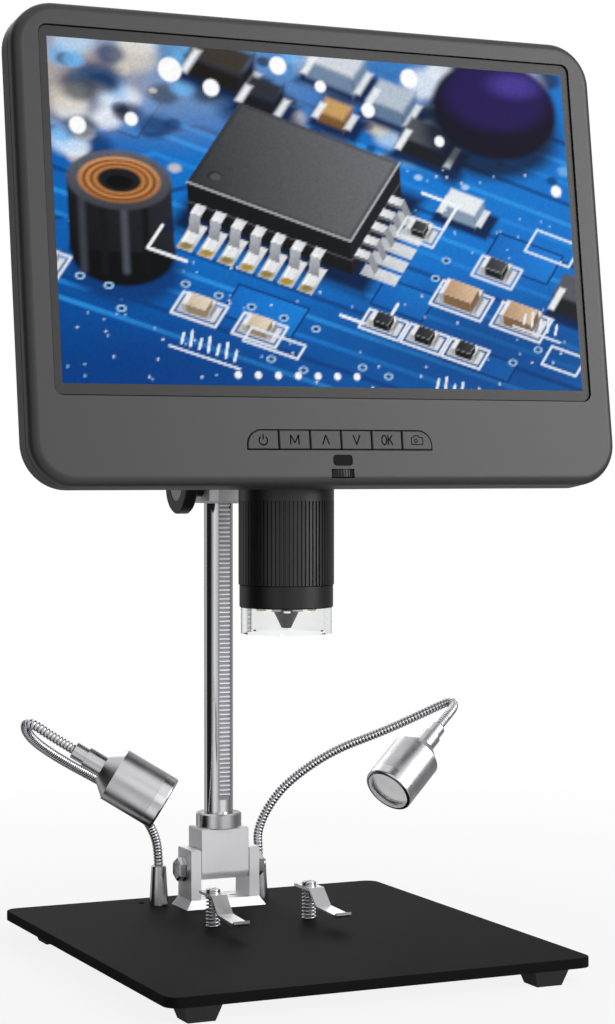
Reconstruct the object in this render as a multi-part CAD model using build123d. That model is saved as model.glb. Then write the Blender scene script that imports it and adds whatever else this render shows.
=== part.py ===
from build123d import *
from math import acos, cos, pi, radians, sin, tan
import os

# A desk microscope with its own screen. Millimetres, +X to the right, +Y to the back, +Z up.
# The origin is on the bench, midway between the base plate's sides and ends.

# ---- Driving dimensions ----
# Base plate and feet
PLATE_WIDTH = 147.6
PLATE_DEPTH = 161.7
PLATE_THICK = 3.3
PLATE_CORNER = 5.0
FOOT_HEIGHT = 5.1
FOOT_TOP = (12.4, 11.6)
FOOT_BOTTOM = (9.0, 8.6)
FOOT_INSET_LEFT = 11.3
FOOT_INSET_RIGHT = 15.8
FOOT_INSET_FRONT = 5.9
FOOT_INSET_BACK = 23.6
FOOT_POCKET = 2.6
FOOT_SCREW_COVER = 0.7
WIRE_HOLE_PLACE = (-24.7, 71.1)
WIRE_HOLE_RADIUS = 1.3

# Small screws
SCREW_RADIUS = 1.25
SCREW_HEAD_RADIUS = 2.3
SCREW_HEAD = 1.5
SCREW_SHORT = 0.3    # how far a screw ends before its hole does
SLIP = 0.06          # radial clearance of a turning or sliding fit
GAP = 0.3            # air between parts that move past each other

# Column, rack and tilt bracket
COLUMN_Y = 57.5
COLUMN_RADIUS = 5.2
COLUMN_TOP = 226.4
COLUMN_SOCKET = 10.0
COLLAR_RADIUS = 8.2
COLLAR_HEIGHT = 5.1
CAP_RADIUS = 6.4
CAP_HEIGHT = 5.0
RACK_BOTTOM = 46.8
RACK_TOP = 222.0
RACK_WIDTH = 4.0
RACK_DEPTH = 1.9
TOOTH_PITCH = 1.6
TOOTH_ADDENDUM = 0.4
TOOTH_CLEARANCE = 0.1
TOOTH_BACKLASH = 0.12
PRESSURE_ANGLE = 20.0
BRACKET_FOOT = (30.6, 15.2)
BRACKET_FOOT_THICK = 3.1
EAR_THICK = 3.8
EAR_DEPTH = 12.8
EAR_TOP = 29.5
TILT_HEIGHT = 22.1
TILT_BOLT_RADIUS = 2.5
TILT_BOLT_END = 0.8
TILT_BOLT_HEAD = (7.4, 2.6)
TILT_BOLT_FLANGE = (4.5, 0.8)
TILT_NUT = (8.0, 3.4)
BLOCK_WIDTH = 18.2
BLOCK_DEPTH = 12.6
BLOCK_BOTTOM = 18.3
BLOCK_TOP = 36.9
BLOCK_ROUNDING = 3.0

# Carriage and focus drive
CARRIAGE_BOTTOM = 153.8
CARRIAGE_HEIGHT = 32.2
CARRIAGE_WIDTH = 21.0
CARRIAGE_FRONT = 38.0
CARRIAGE_BACK = 67.0
CARRIAGE_CHAMFER = 2.5
BUSH_WALL = 1.3
BUSH_HEIGHT = 12.0
PINION_ABOVE = 6.3
PINION_TEETH = 16
PINION_WIDTH = 6.0
SHAFT_RADIUS = 2.0
KNOB_RADIUS = 10.0
KNOB_THICK = 4.5
KNOB_REACH = 20.4
KNOB_HUB_RADIUS = 4.0
INLAY_RADIUS = 5.5
INLAY_THICK = 0.8

# Camera barrel
BARREL_Y = -2.2
BARREL_BOTTOM = 119.2
NOSE_RADIUS = 15.9
NOSE_HEIGHT = 7.5
TUBE_RADIUS = 13.2
TUBE_BORE = 11.3
TUBE_ABOVE_RING = 13.7
FLANGE_RADIUS = 15.0
FLANGE_THICK = 2.4
RING_RADIUS = 16.2
RING_TOP = 160.3
RING_COLLAR = 4.9
RIB_COUNT = 72
RIB_DEPTH = 0.45
COVER_RADIUS = 15.4
COVER_WALL = 1.3
COVER_HEIGHT = 8.8
COVER_SPIGOT = 3.0
COVER_NOTCHES = 6
LED_COUNT = 8
LED_CIRCLE = 9.2
CONE_TOP_RADIUS = 5.0
CONE_TIP_RADIUS = 1.6
CONE_LENGTH = 7.0
CELL_MIDDLE = 148.0
CELL_LENGTH = 16.0
CELL_TRAVEL = 3.0
CELL_PIN_RADIUS = 1.0
LENS_RADIUS = 8.6

# Camera head housing and the arm behind it
HEAD_TOP = 221.4
HEAD_WIDTH = 42.0
HEAD_BACK = 22.0
HEAD_WALL = 2.0
HEAD_BEHIND_SCREEN = 1.5
SENSOR_BOARD = (30.0, 28.4, 1.6)
SENSOR_BOARD_MIDDLE = 1.8
SENSOR = (9.0, 8.0, 1.4)
SENSOR_CHIP = (6.0, 6.0, 1.0)
SENSOR_CHIP_PLACES = ((-7.0, 8.0), (6.0, 7.0), (0.0, -5.0))
ARM_PLATE_THICK = 2.5
ARM_WEB_WIDTH = 7.2
ARM_FLANGE_THICK = 2.0
ARM_HEIGHT = 24.0
HEAD_SCREW = 9.0
ARM_SCREW = 6.0
SCREW_MARGIN = 3.5
YOKE_WIDTH = 15.6
YOKE_PLATE = (27.0, 18.0, 2.0)

# Screen
SCREEN_Y = -34.2
SCREEN_HEIGHT = 247.1
SCREEN_LEAN = 7.9
ACTIVE_WIDTH = 185.8
ACTIVE_HEIGHT = 110.0
BORDER_SIDE = 11.4
BORDER_TOP = 11.4
CHIN = 32.0
HOUSING_CORNER = 14.5
HOUSING_WALL = 2.2
BEZEL_DEPTH = 5.0
BEZEL_ROUNDING = 3.0
SEAM = 0.4
LIP_ROOT = 2.0
LIP_HEIGHT = 1.8
LIP_THICK = 1.2
LIP_PLAY = 0.1
LIP_ROOM = 0.15
SIDE_DEPTH = 11.3
REAR_DEPTH = 24.5
REAR_INSET = 14.0
REAR_CORNER = 7.0
CASE_BOSS = 2.7
CASE_SCREW_EDGE = 5.1
CASE_SCREW_ROWS = (30.0, -50.0)
CASE_SCREW_FOOT = (46.0, 5.9)
WINDOW_MARGIN = (2.9, 3.85)
WINDOW_CORNER = 3.0
GLASS_RECESS = 0.8
PANEL_MARGIN = (3.4, 4.5)
WINDOW_FIT = 0.2
PANEL_THICK = 3.2
BOARD_SIZE = (150.0, 66.0, 1.6)
BOARD_PLACE = (20.0, -8.0)
BOARD_FRONT = -10.5
BOARD_PILLAR = 2.5
BOARD_PILLARS = (68.0, 28.0)
SOCKET_DEPTH = 9.0
SOCKET_MOUTH = 7.0
SOCKET_WALL = 0.5
HINGE_ABOVE = -13.5
HINGE_BEHIND = 7.0
HINGE_RADIUS = 5.0
HINGE_PIN_RADIUS = 2.0
HINGE_LUG = 5.0
HINGE_PLATE = (44.0, 22.0, 2.0)
# Sockets in the right side, for charging, video and a card: v place, width and height of the mouth
PORTS = ((8.0, 7.8, 2.9), (-9.0, 11.4, 3.3), (-28.0, 13.0, 2.2))
VENT_SLOTS = 9
VENT_SLOT = (3.0, 16.0)
VENT_PITCH = 7.0
VENT_GROUP = 52.0
VENT_ROW = 30.0

# Keys, receiver window and dimmer wheel
KEY_COUNT = 6
KEY_PITCH = 11.0
KEY_HEIGHT = 6.5
KEY_ROW = -72.4
KEY_CENTRE = 0.5
KEY_GAP = 0.4
KEY_ROOM = 0.15
KEY_PROUD = 0.3
KEY_DEPTH = 3.7
KEY_TRAVEL = 0.6
KEY_CORNER = 5.0
RECEIVER_SIZE = (7.0, 3.6)
RECEIVER_PLACE = (0.8, -79.0)
WHEEL_RADIUS = 6.3
WHEEL_THICK = 2.4
WHEEL_PROUD = 1.1
WHEEL_TEETH = 40
WHEEL_TOOTH = 0.3
WHEEL_CENTRE = 0.6
WHEEL_SHAFT = 1.2

# Goosenecks and lamps
FERRULE_PLACE = (19.7, 66.6)
FERRULE_TOP = 22.2
FERRULE_RADII = (3.45, 2.65)
STUD_RADIUS = 1.9
STUD_PAST_NUT = 0.4
FERRULE_NUT = (6.6, 2.0)
NECK_RADIUS = 1.7
NECK_DEPTH = 6.0
NECK_LEAD = 3.5
NECK_RUN_IN = 6.0
BALL_RADIUS = 2.2
LAMP_RADIUS = 9.1
LAMP_LENGTH = 19.0
LAMP_CONE = 4.5
LAMP_BACK_RADIUS = 4.9
LAMP_WALL = 1.2
SLEEVE_RADII = (3.5, 2.8)
SLEEVE_LENGTHS = (6.5, 4.5)
LAMP_RING = 3.9
LAMP_LENS = 2.0

# Stage clips
CLIP_PLACE = (18.2, 18.9)
CLIP_SPLAY = 1.5
CLIP_WIDTH = 5.7
CLIP_THICK = 1.0
CLIP_TOP = 11.7
CLIP_LOW = 6.2
CLIP_TIP = 5.5
CLIP_RUN = (-6.0, 5.9, 11.6, 25.4, 26.8)
CLIP_SCREW_RADIUS = 1.5
CLIP_HEAD_RADIUS = 2.5
SPRING_RADII = (2.6, 2.0)

# ---- Sizes worked out from those above ----
PLATE_BOTTOM = FOOT_HEIGHT
BASE_TOP = FOOT_HEIGHT + PLATE_THICK
FEET_X = (FOOT_INSET_LEFT - PLATE_WIDTH / 2, PLATE_WIDTH / 2 - FOOT_INSET_RIGHT)
FEET_Y = (FOOT_INSET_FRONT - PLATE_DEPTH / 2, PLATE_DEPTH / 2 - FOOT_INSET_BACK)
FEET = [(x, y) for x in FEET_X for y in FEET_Y]
BRACKET_SCREWS = [(x, COLUMN_Y) for x in (-5.5, 5.5)]
PINION_HEIGHT = CARRIAGE_BOTTOM + PINION_ABOVE
TUBE_TOP = RING_TOP + TUBE_ABOVE_RING
HEAD_BOTTOM = RING_TOP + GAP
EAR_INNER = BLOCK_WIDTH / 2 + GAP
EAR_OUTER = EAR_INNER + EAR_THICK
COLUMN_FOOT = BLOCK_TOP - COLUMN_SOCKET
PINION_PITCH_RADIUS = PINION_TEETH * TOOTH_PITCH / (2 * pi)
RACK_PITCH_Y = COLUMN_Y - COLUMN_RADIUS - 0.2
PINION_Y = RACK_PITCH_Y - PINION_PITCH_RADIUS
TOOTH_ROOT = TOOTH_ADDENDUM + TOOTH_CLEARANCE
TOOTH_HALF = (TOOTH_PITCH / 2 - TOOTH_BACKLASH) / 2
RACK_BACK_Y = RACK_PITCH_Y + TOOTH_ROOT + RACK_DEPTH
BUSH_RADIUS = COLUMN_RADIUS + SLIP + BUSH_WALL
CARRIAGE_TOP = CARRIAGE_BOTTOM + CARRIAGE_HEIGHT
ARM_BOTTOM = CARRIAGE_TOP - ARM_HEIGHT
KNOB_INNER = KNOB_REACH - KNOB_THICK
NOSE_TOP = BARREL_BOTTOM + NOSE_HEIGHT
RING_BOTTOM = NOSE_TOP + GAP
LED_BOARD_RADIUS = COVER_RADIUS - COVER_WALL - 1.2
LED_BOARD_THICK = 1.2
CONE_FLANGE = CONE_TOP_RADIUS + 1.4
LEAN = radians(SCREEN_LEAN)
HOUSING_WIDTH = ACTIVE_WIDTH + 2 * BORDER_SIDE
HOUSING_HEIGHT = ACTIVE_HEIGHT + BORDER_TOP + CHIN
HOUSING_V = (BORDER_TOP - CHIN) / 2
HOUSING_FOOT = HOUSING_V - HOUSING_HEIGHT / 2
HINGE_W = -REAR_DEPTH - HINGE_BEHIND
HINGE_Y = SCREEN_Y + HINGE_ABOVE * sin(LEAN) - HINGE_W * cos(LEAN)
HINGE_Z = SCREEN_HEIGHT + HINGE_ABOVE * cos(LEAN) + HINGE_W * sin(LEAN)
YOKE_TOP = HEAD_TOP + YOKE_PLATE[2]
WHEEL_TOP = HOUSING_FOOT + HOUSING_WALL + 0.3 + WHEEL_THICK
WHEEL_W = WHEEL_PROUD - WHEEL_RADIUS
KEY_ROW_WIDTH = KEY_COUNT * KEY_PITCH
LAMP_BACK = LAMP_LENGTH / 2 + LAMP_CONE
LAMP_TAIL = LAMP_BACK + sum(SLEEVE_LENGTHS)
CASE_SCREWS = [(side * (HOUSING_WIDTH / 2 - CASE_SCREW_EDGE), v) for side in (-1, 1) for v in CASE_SCREW_ROWS]
CASE_SCREWS += [(side * CASE_SCREW_FOOT[0], HOUSING_FOOT + CASE_SCREW_FOOT[1]) for side in (-1, 1)]
SCREEN = Plane(origin=(0, SCREEN_Y, SCREEN_HEIGHT), x_dir=(1, 0, 0), z_dir=(0, -cos(LEAN), sin(LEAN)))

# Each lamp: its middle, the way it shines, and the points that its gooseneck's path turns about.
LAMPS = {
    "left": {
        "middle": (-56.1, -10.2, 61.4),
        "aim": (0.775, -0.367, -0.515),
        "path": [(-21.5, 65.6, 34), (-28, 61.5, 42.5), (-41, 52, 52.5), (-52.4, 44.5, 58.7),
                 (-64.3, 35.5, 64.8), (-74.3, 27, 70.3), (-82.8, 18.5, 75.5), (-87.8, 12, 79.9),
                 (-89.3, 7, 82.9), (-87.5, 4.2, 82.6), (-83.9, 2.6, 80)],
    },
    "right": {
        "middle": (52.9, 15.5, 57.9),
        "aim": (-0.746, -0.324, -0.582),
        "path": [(21.2, 71.3, 31.7), (25.7, 72, 40.3), (33.3, 70.5, 49.7), (47.9, 63, 61.2),
                 (64.5, 54, 68.4), (77.6, 46, 75.6), (82.9, 42.5, 78.7), (85.7, 40, 80.2), (85.8, 37, 78.5)],
    },
}
SIDES = {"left": -1, "right": 1}


# ---- Shapes ----
def slab(x_span, y_span, z_span):
    """Box between two corners, given as spans."""
    spans = (x_span, y_span, z_span)
    middle = [(low + high) / 2 for low, high in spans]
    return Pos(*middle) * Box(*[high - low for low, high in spans])


def post(place, z_span, radius):
    """Upright round bar."""
    low, high = z_span
    return Pos(place[0], place[1], (low + high) / 2) * Cylinder(radius, high - low)


def pipe(place, z_span, radius, bore):
    """Upright tube."""
    return post(place, z_span, radius) - post(place, z_span, bore)


def taper(place, z_span, low_radius, high_radius):
    """Upright cone."""
    low, high = z_span
    return Pos(place[0], place[1], (low + high) / 2) * Cone(low_radius, high_radius, high - low)


def cross_bar(x_span, y, z, radius):
    """Round bar along X."""
    low, high = x_span
    return Pos((low + high) / 2, y, z) * Rot(0, 90, 0) * Cylinder(radius, high - low)


def depth_bar(x, y_span, z, radius):
    """Round bar along Y."""
    low, high = y_span
    return Pos(x, (low + high) / 2, z) * Rot(90, 0, 0) * Cylinder(radius, high - low)


def sheet(outline, z_span):
    """Flat outline thickened from one height to another."""
    low, high = z_span
    return Pos(0, 0, low) * extrude(outline, amount=high - low)


def side_cut(points, half_width):
    """Outline of (y, z) points, thickened along X."""
    face = Plane.YZ * Polygon(*points, align=None)
    return extrude(face, amount=half_width, both=True)


def hexagon(width, height):
    """Upright hexagonal bar, from z = 0 up."""
    return extrude(RegularPolygon(width / 2, 6, major_radius=False), amount=height)


def pan_screw(length):
    """Pan-head screw: the head's flat underside is at z = 0 and the shank goes down."""
    shank = post((0, 0), (-length, 0), SCREW_RADIUS)
    head = post((0, 0), (0, SCREW_HEAD), SCREW_HEAD_RADIUS)
    slots = [Rot(0, 0, turn) * slab((-1.5, 1.5), (-0.25, 0.25), (0.8, SCREW_HEAD)) for turn in (0, 90)]
    return shank + fillet(head.edges().group_by(Axis.Z)[-1], 0.6) - slots


def joined(pieces):
    """Several solids that share one node."""
    return Part() + list(pieces)


def save(name, shape):
    """Write one node."""
    export_step(shape, f"parts/{name}.step")


# ---- Base ----
def base_plate():
    """Steel plate with rounded corners and its fixing holes."""
    plate = sheet(RectangleRounded(PLATE_WIDTH, PLATE_DEPTH, PLATE_CORNER), (PLATE_BOTTOM, BASE_TOP))
    plate = fillet(plate.edges().group_by(Axis.Z)[-1], 0.4)
    through = (PLATE_BOTTOM - 1, BASE_TOP + 1)
    holes = [post(place, through, SCREW_RADIUS) for place in BRACKET_SCREWS]
    holes += [post(place, (PLATE_BOTTOM - 1, BASE_TOP - FOOT_SCREW_COVER), SCREW_RADIUS) for place in FEET]
    holes += [post((s * FERRULE_PLACE[0], FERRULE_PLACE[1]), through, STUD_RADIUS) for s in SIDES.values()]
    holes += [post((s * CLIP_PLACE[0], CLIP_PLACE[1]), through, CLIP_SCREW_RADIUS) for s in SIDES.values()]
    holes.append(post(WIRE_HOLE_PLACE, through, WIRE_HOLE_RADIUS))
    return plate - holes


def foot(place):
    """Tapered rubber block with a pocket for its screw."""
    bottom = Rectangle(*FOOT_BOTTOM)
    top = Pos(0, 0, FOOT_HEIGHT) * Rectangle(*FOOT_TOP)
    pocket = post((0, 0), (-1, FOOT_POCKET), SCREW_HEAD_RADIUS + 0.2)
    hole = post((0, 0), (0, FOOT_HEIGHT + 1), SCREW_RADIUS)
    return Pos(*place) * (loft([bottom, top]) - pocket - hole)


def foot_screws():
    """One screw up through each foot into the plate."""
    length = BASE_TOP - FOOT_SCREW_COVER - SCREW_SHORT - FOOT_POCKET
    screw = Pos(0, 0, FOOT_POCKET) * Rot(180, 0, 0) * pan_screw(length)
    return joined(Pos(*place) * screw for place in FEET)


def column_bracket():
    """U-shaped bracket: flared foot and two ears with the tilt bolt's bore."""
    foot_top = BASE_TOP + BRACKET_FOOT_THICK
    low = Pos(0, COLUMN_Y, BASE_TOP) * Rectangle(*BRACKET_FOOT)
    high = Pos(0, COLUMN_Y, foot_top) * Rectangle(2 * EAR_OUTER, EAR_DEPTH)
    span = (COLUMN_Y - EAR_DEPTH / 2, COLUMN_Y + EAR_DEPTH / 2)
    ears = [slab(sorted((s * EAR_INNER, s * EAR_OUTER)), span, (foot_top, EAR_TOP)) for s in SIDES.values()]
    ears = [chamfer(ear.edges().filter_by(Axis.X).group_by(Axis.Z)[-1], 0.6) for ear in ears]
    bore = cross_bar((-EAR_OUTER - 1, EAR_OUTER + 1), COLUMN_Y, TILT_HEIGHT, TILT_BOLT_RADIUS)
    holes = [post(place, (BASE_TOP - 1, foot_top + 1), SCREW_RADIUS) for place in BRACKET_SCREWS]
    return loft([low, high]) + ears - bore - holes


def bracket_screws():
    """Screws from under the plate into the bracket's foot."""
    length = PLATE_THICK + BRACKET_FOOT_THICK - SCREW_SHORT
    screw = Pos(0, 0, PLATE_BOTTOM) * Rot(180, 0, 0) * pan_screw(length)
    return joined(Pos(*place) * screw for place in BRACKET_SCREWS)


def tilt_bolt():
    """Flanged hexagon bolt through both ears, head on the left."""
    width, height = TILT_BOLT_HEAD
    radius, thick = TILT_BOLT_FLANGE
    end = EAR_OUTER + TILT_NUT[1] + TILT_BOLT_END
    shank = cross_bar((-EAR_OUTER, end), COLUMN_Y, TILT_HEIGHT, TILT_BOLT_RADIUS)
    flange = cross_bar((-EAR_OUTER - thick, -EAR_OUTER), COLUMN_Y, TILT_HEIGHT, radius)
    head = Pos(-EAR_OUTER - thick, COLUMN_Y, TILT_HEIGHT) * Rot(0, -90, 0) * hexagon(width, height)
    return shank + flange + chamfer(head.edges().group_by(Axis.X)[0], 0.5)


def tilt_nut():
    """Nut on the right end of the tilt bolt."""
    width, height = TILT_NUT
    nut = Pos(EAR_OUTER, COLUMN_Y, TILT_HEIGHT) * Rot(0, 90, 0) * hexagon(width, height)
    bore = cross_bar((EAR_OUTER - 1, EAR_OUTER + height + 1), COLUMN_Y, TILT_HEIGHT, TILT_BOLT_RADIUS)
    return chamfer(nut.edges().group_by(Axis.X)[-1], 0.5) - bore


def ferrule(side):
    """Tapered socket that a gooseneck stands in, with a stud through the plate."""
    place = (side * FERRULE_PLACE[0], FERRULE_PLACE[1])
    cone = taper(place, (BASE_TOP, FERRULE_TOP), *FERRULE_RADII)
    stud = post(place, (PLATE_BOTTOM - FERRULE_NUT[1] - STUD_PAST_NUT, BASE_TOP), STUD_RADIUS)
    socket = post(place, (FERRULE_TOP - NECK_DEPTH - 0.4, FERRULE_TOP + 1), NECK_RADIUS + SLIP)
    return cone + stud - socket


def ferrule_nut(side):
    """Nut under the plate."""
    place = (side * FERRULE_PLACE[0], FERRULE_PLACE[1])
    width, height = FERRULE_NUT
    nut = Pos(*place, PLATE_BOTTOM - height) * hexagon(width, height)
    return nut - post(place, (0, PLATE_BOTTOM), STUD_RADIUS)


# ---- Stage clips ----
def clip_screw(side):
    """Slotted shoulder screw that holds the clip and its spring."""
    place = (side * CLIP_PLACE[0], CLIP_PLACE[1])
    under = BASE_TOP + CLIP_TOP + 0.05
    shank = post(place, (PLATE_BOTTOM, under), CLIP_SCREW_RADIUS)
    head = post(place, (under, under + 1.3), CLIP_HEAD_RADIUS)
    head = fillet(head.edges().group_by(Axis.Z)[-1], 0.4)
    slot = Pos(*place, under + 1.3) * Rot(0, 0, 35) * Box(2 * CLIP_HEAD_RADIUS, 0.6, 1.2)
    return shank + head - slot


def clip_spring(side):
    """Envelope of the coil spring between plate and clip."""
    place = (side * CLIP_PLACE[0], CLIP_PLACE[1])
    return pipe(place, (BASE_TOP, BASE_TOP + CLIP_TOP - CLIP_THICK - 0.05), *SPRING_RADII)


def stage_clip(side):
    """Bent spring-steel strip: flat at the screw, down a slope, then a long finger with a turned-up tip."""
    back, bend, low, end, tip = CLIP_RUN
    heights = (CLIP_TOP, CLIP_TOP, CLIP_LOW, CLIP_TIP, CLIP_TIP + 0.9)
    top = [(-run, BASE_TOP + z) for run, z in zip(CLIP_RUN, heights)]
    under = [(y, z - CLIP_THICK) for y, z in reversed(top)]
    strip = side_cut(top + under, CLIP_WIDTH / 2)
    strip -= post((0, 0), (BASE_TOP, BASE_TOP + 20), CLIP_SCREW_RADIUS + SLIP)
    return Pos(side * CLIP_PLACE[0], CLIP_PLACE[1]) * Rot(0, 0, side * CLIP_SPLAY) * strip


# ---- Column ----
def column_block():
    """Block that tilts between the ears and holds the column's foot."""
    span = (COLUMN_Y - BLOCK_DEPTH / 2, COLUMN_Y + BLOCK_DEPTH / 2)
    block = slab((-BLOCK_WIDTH / 2, BLOCK_WIDTH / 2), span, (BLOCK_BOTTOM, BLOCK_TOP))
    block = fillet(block.edges().filter_by(Axis.X).group_by(Axis.Z)[0], BLOCK_ROUNDING)
    block = chamfer(block.edges().group_by(Axis.Z)[-1], 0.5)
    block -= post((0, COLUMN_Y), (COLUMN_FOOT, BLOCK_TOP + 1), COLUMN_RADIUS)
    return block - cross_bar((-BLOCK_WIDTH, BLOCK_WIDTH), COLUMN_Y, TILT_HEIGHT, TILT_BOLT_RADIUS + SLIP)


def column_collar():
    """Ring round the column where it enters the block."""
    ring = pipe((0, COLUMN_Y), (BLOCK_TOP, BLOCK_TOP + COLLAR_HEIGHT), COLLAR_RADIUS, COLUMN_RADIUS)
    return chamfer(ring.edges().group_by(Axis.Z)[-1].sort_by(SortBy.LENGTH)[-1], 0.5)


def column_rod():
    """Round column with a groove down its front for the rack."""
    rod = post((0, COLUMN_Y), (COLUMN_FOOT, COLUMN_TOP), COLUMN_RADIUS)
    half = RACK_WIDTH / 2
    return rod - slab((-half, half), (COLUMN_Y - COLUMN_RADIUS - 1, RACK_BACK_Y), (RACK_BOTTOM, RACK_TOP))


def rack_teeth():
    """Straight-sided rack teeth as (y, z) points; a gap faces the pinion's middle."""
    lean = tan(radians(PRESSURE_ANGLE))
    tip_half = TOOTH_HALF - TOOTH_ADDENDUM * lean
    root_half = TOOTH_HALF + TOOTH_ROOT * lean
    tip_y = RACK_PITCH_Y - TOOTH_ADDENDUM
    root_y = RACK_PITCH_Y + TOOTH_ROOT
    first = int((RACK_BOTTOM + 1 - PINION_HEIGHT) / TOOTH_PITCH)
    last = int((RACK_TOP - 2 - PINION_HEIGHT) / TOOTH_PITCH)
    points = []
    for index in range(first, last):
        middle = PINION_HEIGHT + (index + 0.5) * TOOTH_PITCH
        points += [(root_y, middle - root_half), (tip_y, middle - tip_half)]
        points += [(tip_y, middle + tip_half), (root_y, middle + root_half)]
    return points


def rack():
    """Toothed strip let into the column."""
    root_y = RACK_PITCH_Y + TOOTH_ROOT
    ends = [(RACK_BACK_Y, RACK_BOTTOM), (root_y, RACK_BOTTOM)]
    back = [(root_y, RACK_TOP), (RACK_BACK_Y, RACK_TOP)]
    return side_cut(ends + rack_teeth() + back, RACK_WIDTH / 2)


def column_cap():
    """Plastic cap that stops the carriage at the top."""
    place = (0, COLUMN_Y)
    cap = post(place, (COLUMN_TOP - 2, COLUMN_TOP - 2 + CAP_HEIGHT), CAP_RADIUS)
    cap = fillet(cap.edges().group_by(Axis.Z)[-1], 1.2)
    return cap - post(place, (COLUMN_TOP - 3, COLUMN_TOP), COLUMN_RADIUS)


# ---- Carriage and focus drive ----
def carriage_block():
    """Block that slides on the column; its front is cut for the pinion."""
    half = CARRIAGE_WIDTH / 2
    block = slab((-half, half), (CARRIAGE_FRONT, CARRIAGE_BACK), (CARRIAGE_BOTTOM, CARRIAGE_TOP))
    block = chamfer(block.edges().filter_by(Axis.Z), CARRIAGE_CHAMFER)
    block = chamfer(block.edges().group_by(Axis.Z)[0], 0.8)
    height = (CARRIAGE_BOTTOM - 1, CARRIAGE_TOP + 1)
    block -= post((0, COLUMN_Y), height, BUSH_RADIUS)
    slot = PINION_WIDTH / 2 + 0.4
    block -= cross_bar((-slot, slot), PINION_Y, PINION_HEIGHT, pinion_tip() + 0.4)
    reach = (PINION_Y, COLUMN_Y - BUSH_RADIUS + 1)
    block -= slab((-slot, slot), reach, (PINION_HEIGHT - pinion_tip(), PINION_HEIGHT + pinion_tip()))
    block -= cross_bar((-half - 1, half + 1), PINION_Y, PINION_HEIGHT, SHAFT_RADIUS + SLIP)
    depth = (CARRIAGE_FRONT - 1, CARRIAGE_FRONT + 4.5)
    return block - [depth_bar(x, depth, z, SCREW_RADIUS) for x, z in web_screws()]


def web_screws():
    """Places (x, z) of the screws that hold the arm to the carriage."""
    x = ARM_WEB_WIDTH / 2 + SCREW_HEAD_RADIUS + 0.1
    heights = (ARM_BOTTOM + SCREW_MARGIN, CARRIAGE_TOP - SCREW_MARGIN)
    return [(side * x, z) for side in (-1, 1) for z in heights]


def carriage_bushes():
    """Two plastic sliding bushes, open at the front for the rack and pinion."""
    slot = PINION_WIDTH / 2 + 0.4
    spans = [(CARRIAGE_BOTTOM, CARRIAGE_BOTTOM + BUSH_HEIGHT), (CARRIAGE_TOP - BUSH_HEIGHT, CARRIAGE_TOP)]
    bushes = []
    for span in spans:
        ring = pipe((0, COLUMN_Y), span, BUSH_RADIUS, COLUMN_RADIUS + SLIP)
        bushes.append(ring - slab((-slot, slot), (CARRIAGE_FRONT, COLUMN_Y - 2), (span[0] - 1, span[1] + 1)))
    return joined(bushes)


def pinion_tip():
    """Outer radius of the pinion's teeth."""
    return PINION_PITCH_RADIUS + TOOTH_ADDENDUM


def pinion_outline():
    """Involute gear outline as (y, z) points; one tooth points at the rack."""
    base = PINION_PITCH_RADIUS * cos(radians(PRESSURE_ANGLE))
    pressure = radians(PRESSURE_ANGLE)
    half_at_base = TOOTH_HALF / PINION_PITCH_RADIUS + tan(pressure) - pressure
    root = PINION_PITCH_RADIUS - TOOTH_ROOT
    flank = [(root, half_at_base)]
    for step in range(5):
        radius = base + (pinion_tip() - base) * step / 4
        roll = acos(base / radius)
        flank.append((radius, half_at_base - (tan(roll) - roll)))
    points = []
    for tooth in range(PINION_TEETH):
        middle = 2 * pi * tooth / PINION_TEETH
        turns = [(radius, middle - half) for radius, half in flank]
        turns += [(radius, middle + half) for radius, half in reversed(flank)]
        points += [(PINION_Y + r * cos(a), PINION_HEIGHT + r * sin(a)) for r, a in turns]
    return points


def pinion_shaft():
    """Cross shaft with the pinion cut on its middle."""
    gear = side_cut(pinion_outline(), PINION_WIDTH / 2)
    end = KNOB_REACH - INLAY_THICK - 0.6
    return gear + cross_bar((-end, end), PINION_Y, PINION_HEIGHT, SHAFT_RADIUS)


def focus_knob(side):
    """Round knob with a hub towards the carriage and a recess for its inlay."""
    half = CARRIAGE_WIDTH / 2
    disc = cross_bar(sorted((side * KNOB_INNER, side * KNOB_REACH)), PINION_Y, PINION_HEIGHT, KNOB_RADIUS)
    disc = chamfer(disc.edges(), 0.5)
    hub_span = sorted((side * (half + GAP), side * KNOB_INNER))
    hub = cross_bar(hub_span, PINION_Y, PINION_HEIGHT, KNOB_HUB_RADIUS)
    recess = sorted((side * (KNOB_REACH - INLAY_THICK), side * (KNOB_REACH + 1)))
    pocket = cross_bar(recess, PINION_Y, PINION_HEIGHT, INLAY_RADIUS)
    end = KNOB_REACH - INLAY_THICK - 0.6
    return disc + hub - pocket - cross_bar(sorted((0, side * end)), PINION_Y, PINION_HEIGHT, SHAFT_RADIUS)


def knob_inlay(side):
    """Grey disc let into the knob's face."""
    span = sorted((side * (KNOB_REACH - INLAY_THICK), side * (KNOB_REACH - 0.2)))
    return cross_bar(span, PINION_Y, PINION_HEIGHT, INLAY_RADIUS)


# ---- Camera barrel ----
AXIS = (0, BARREL_Y)


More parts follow.
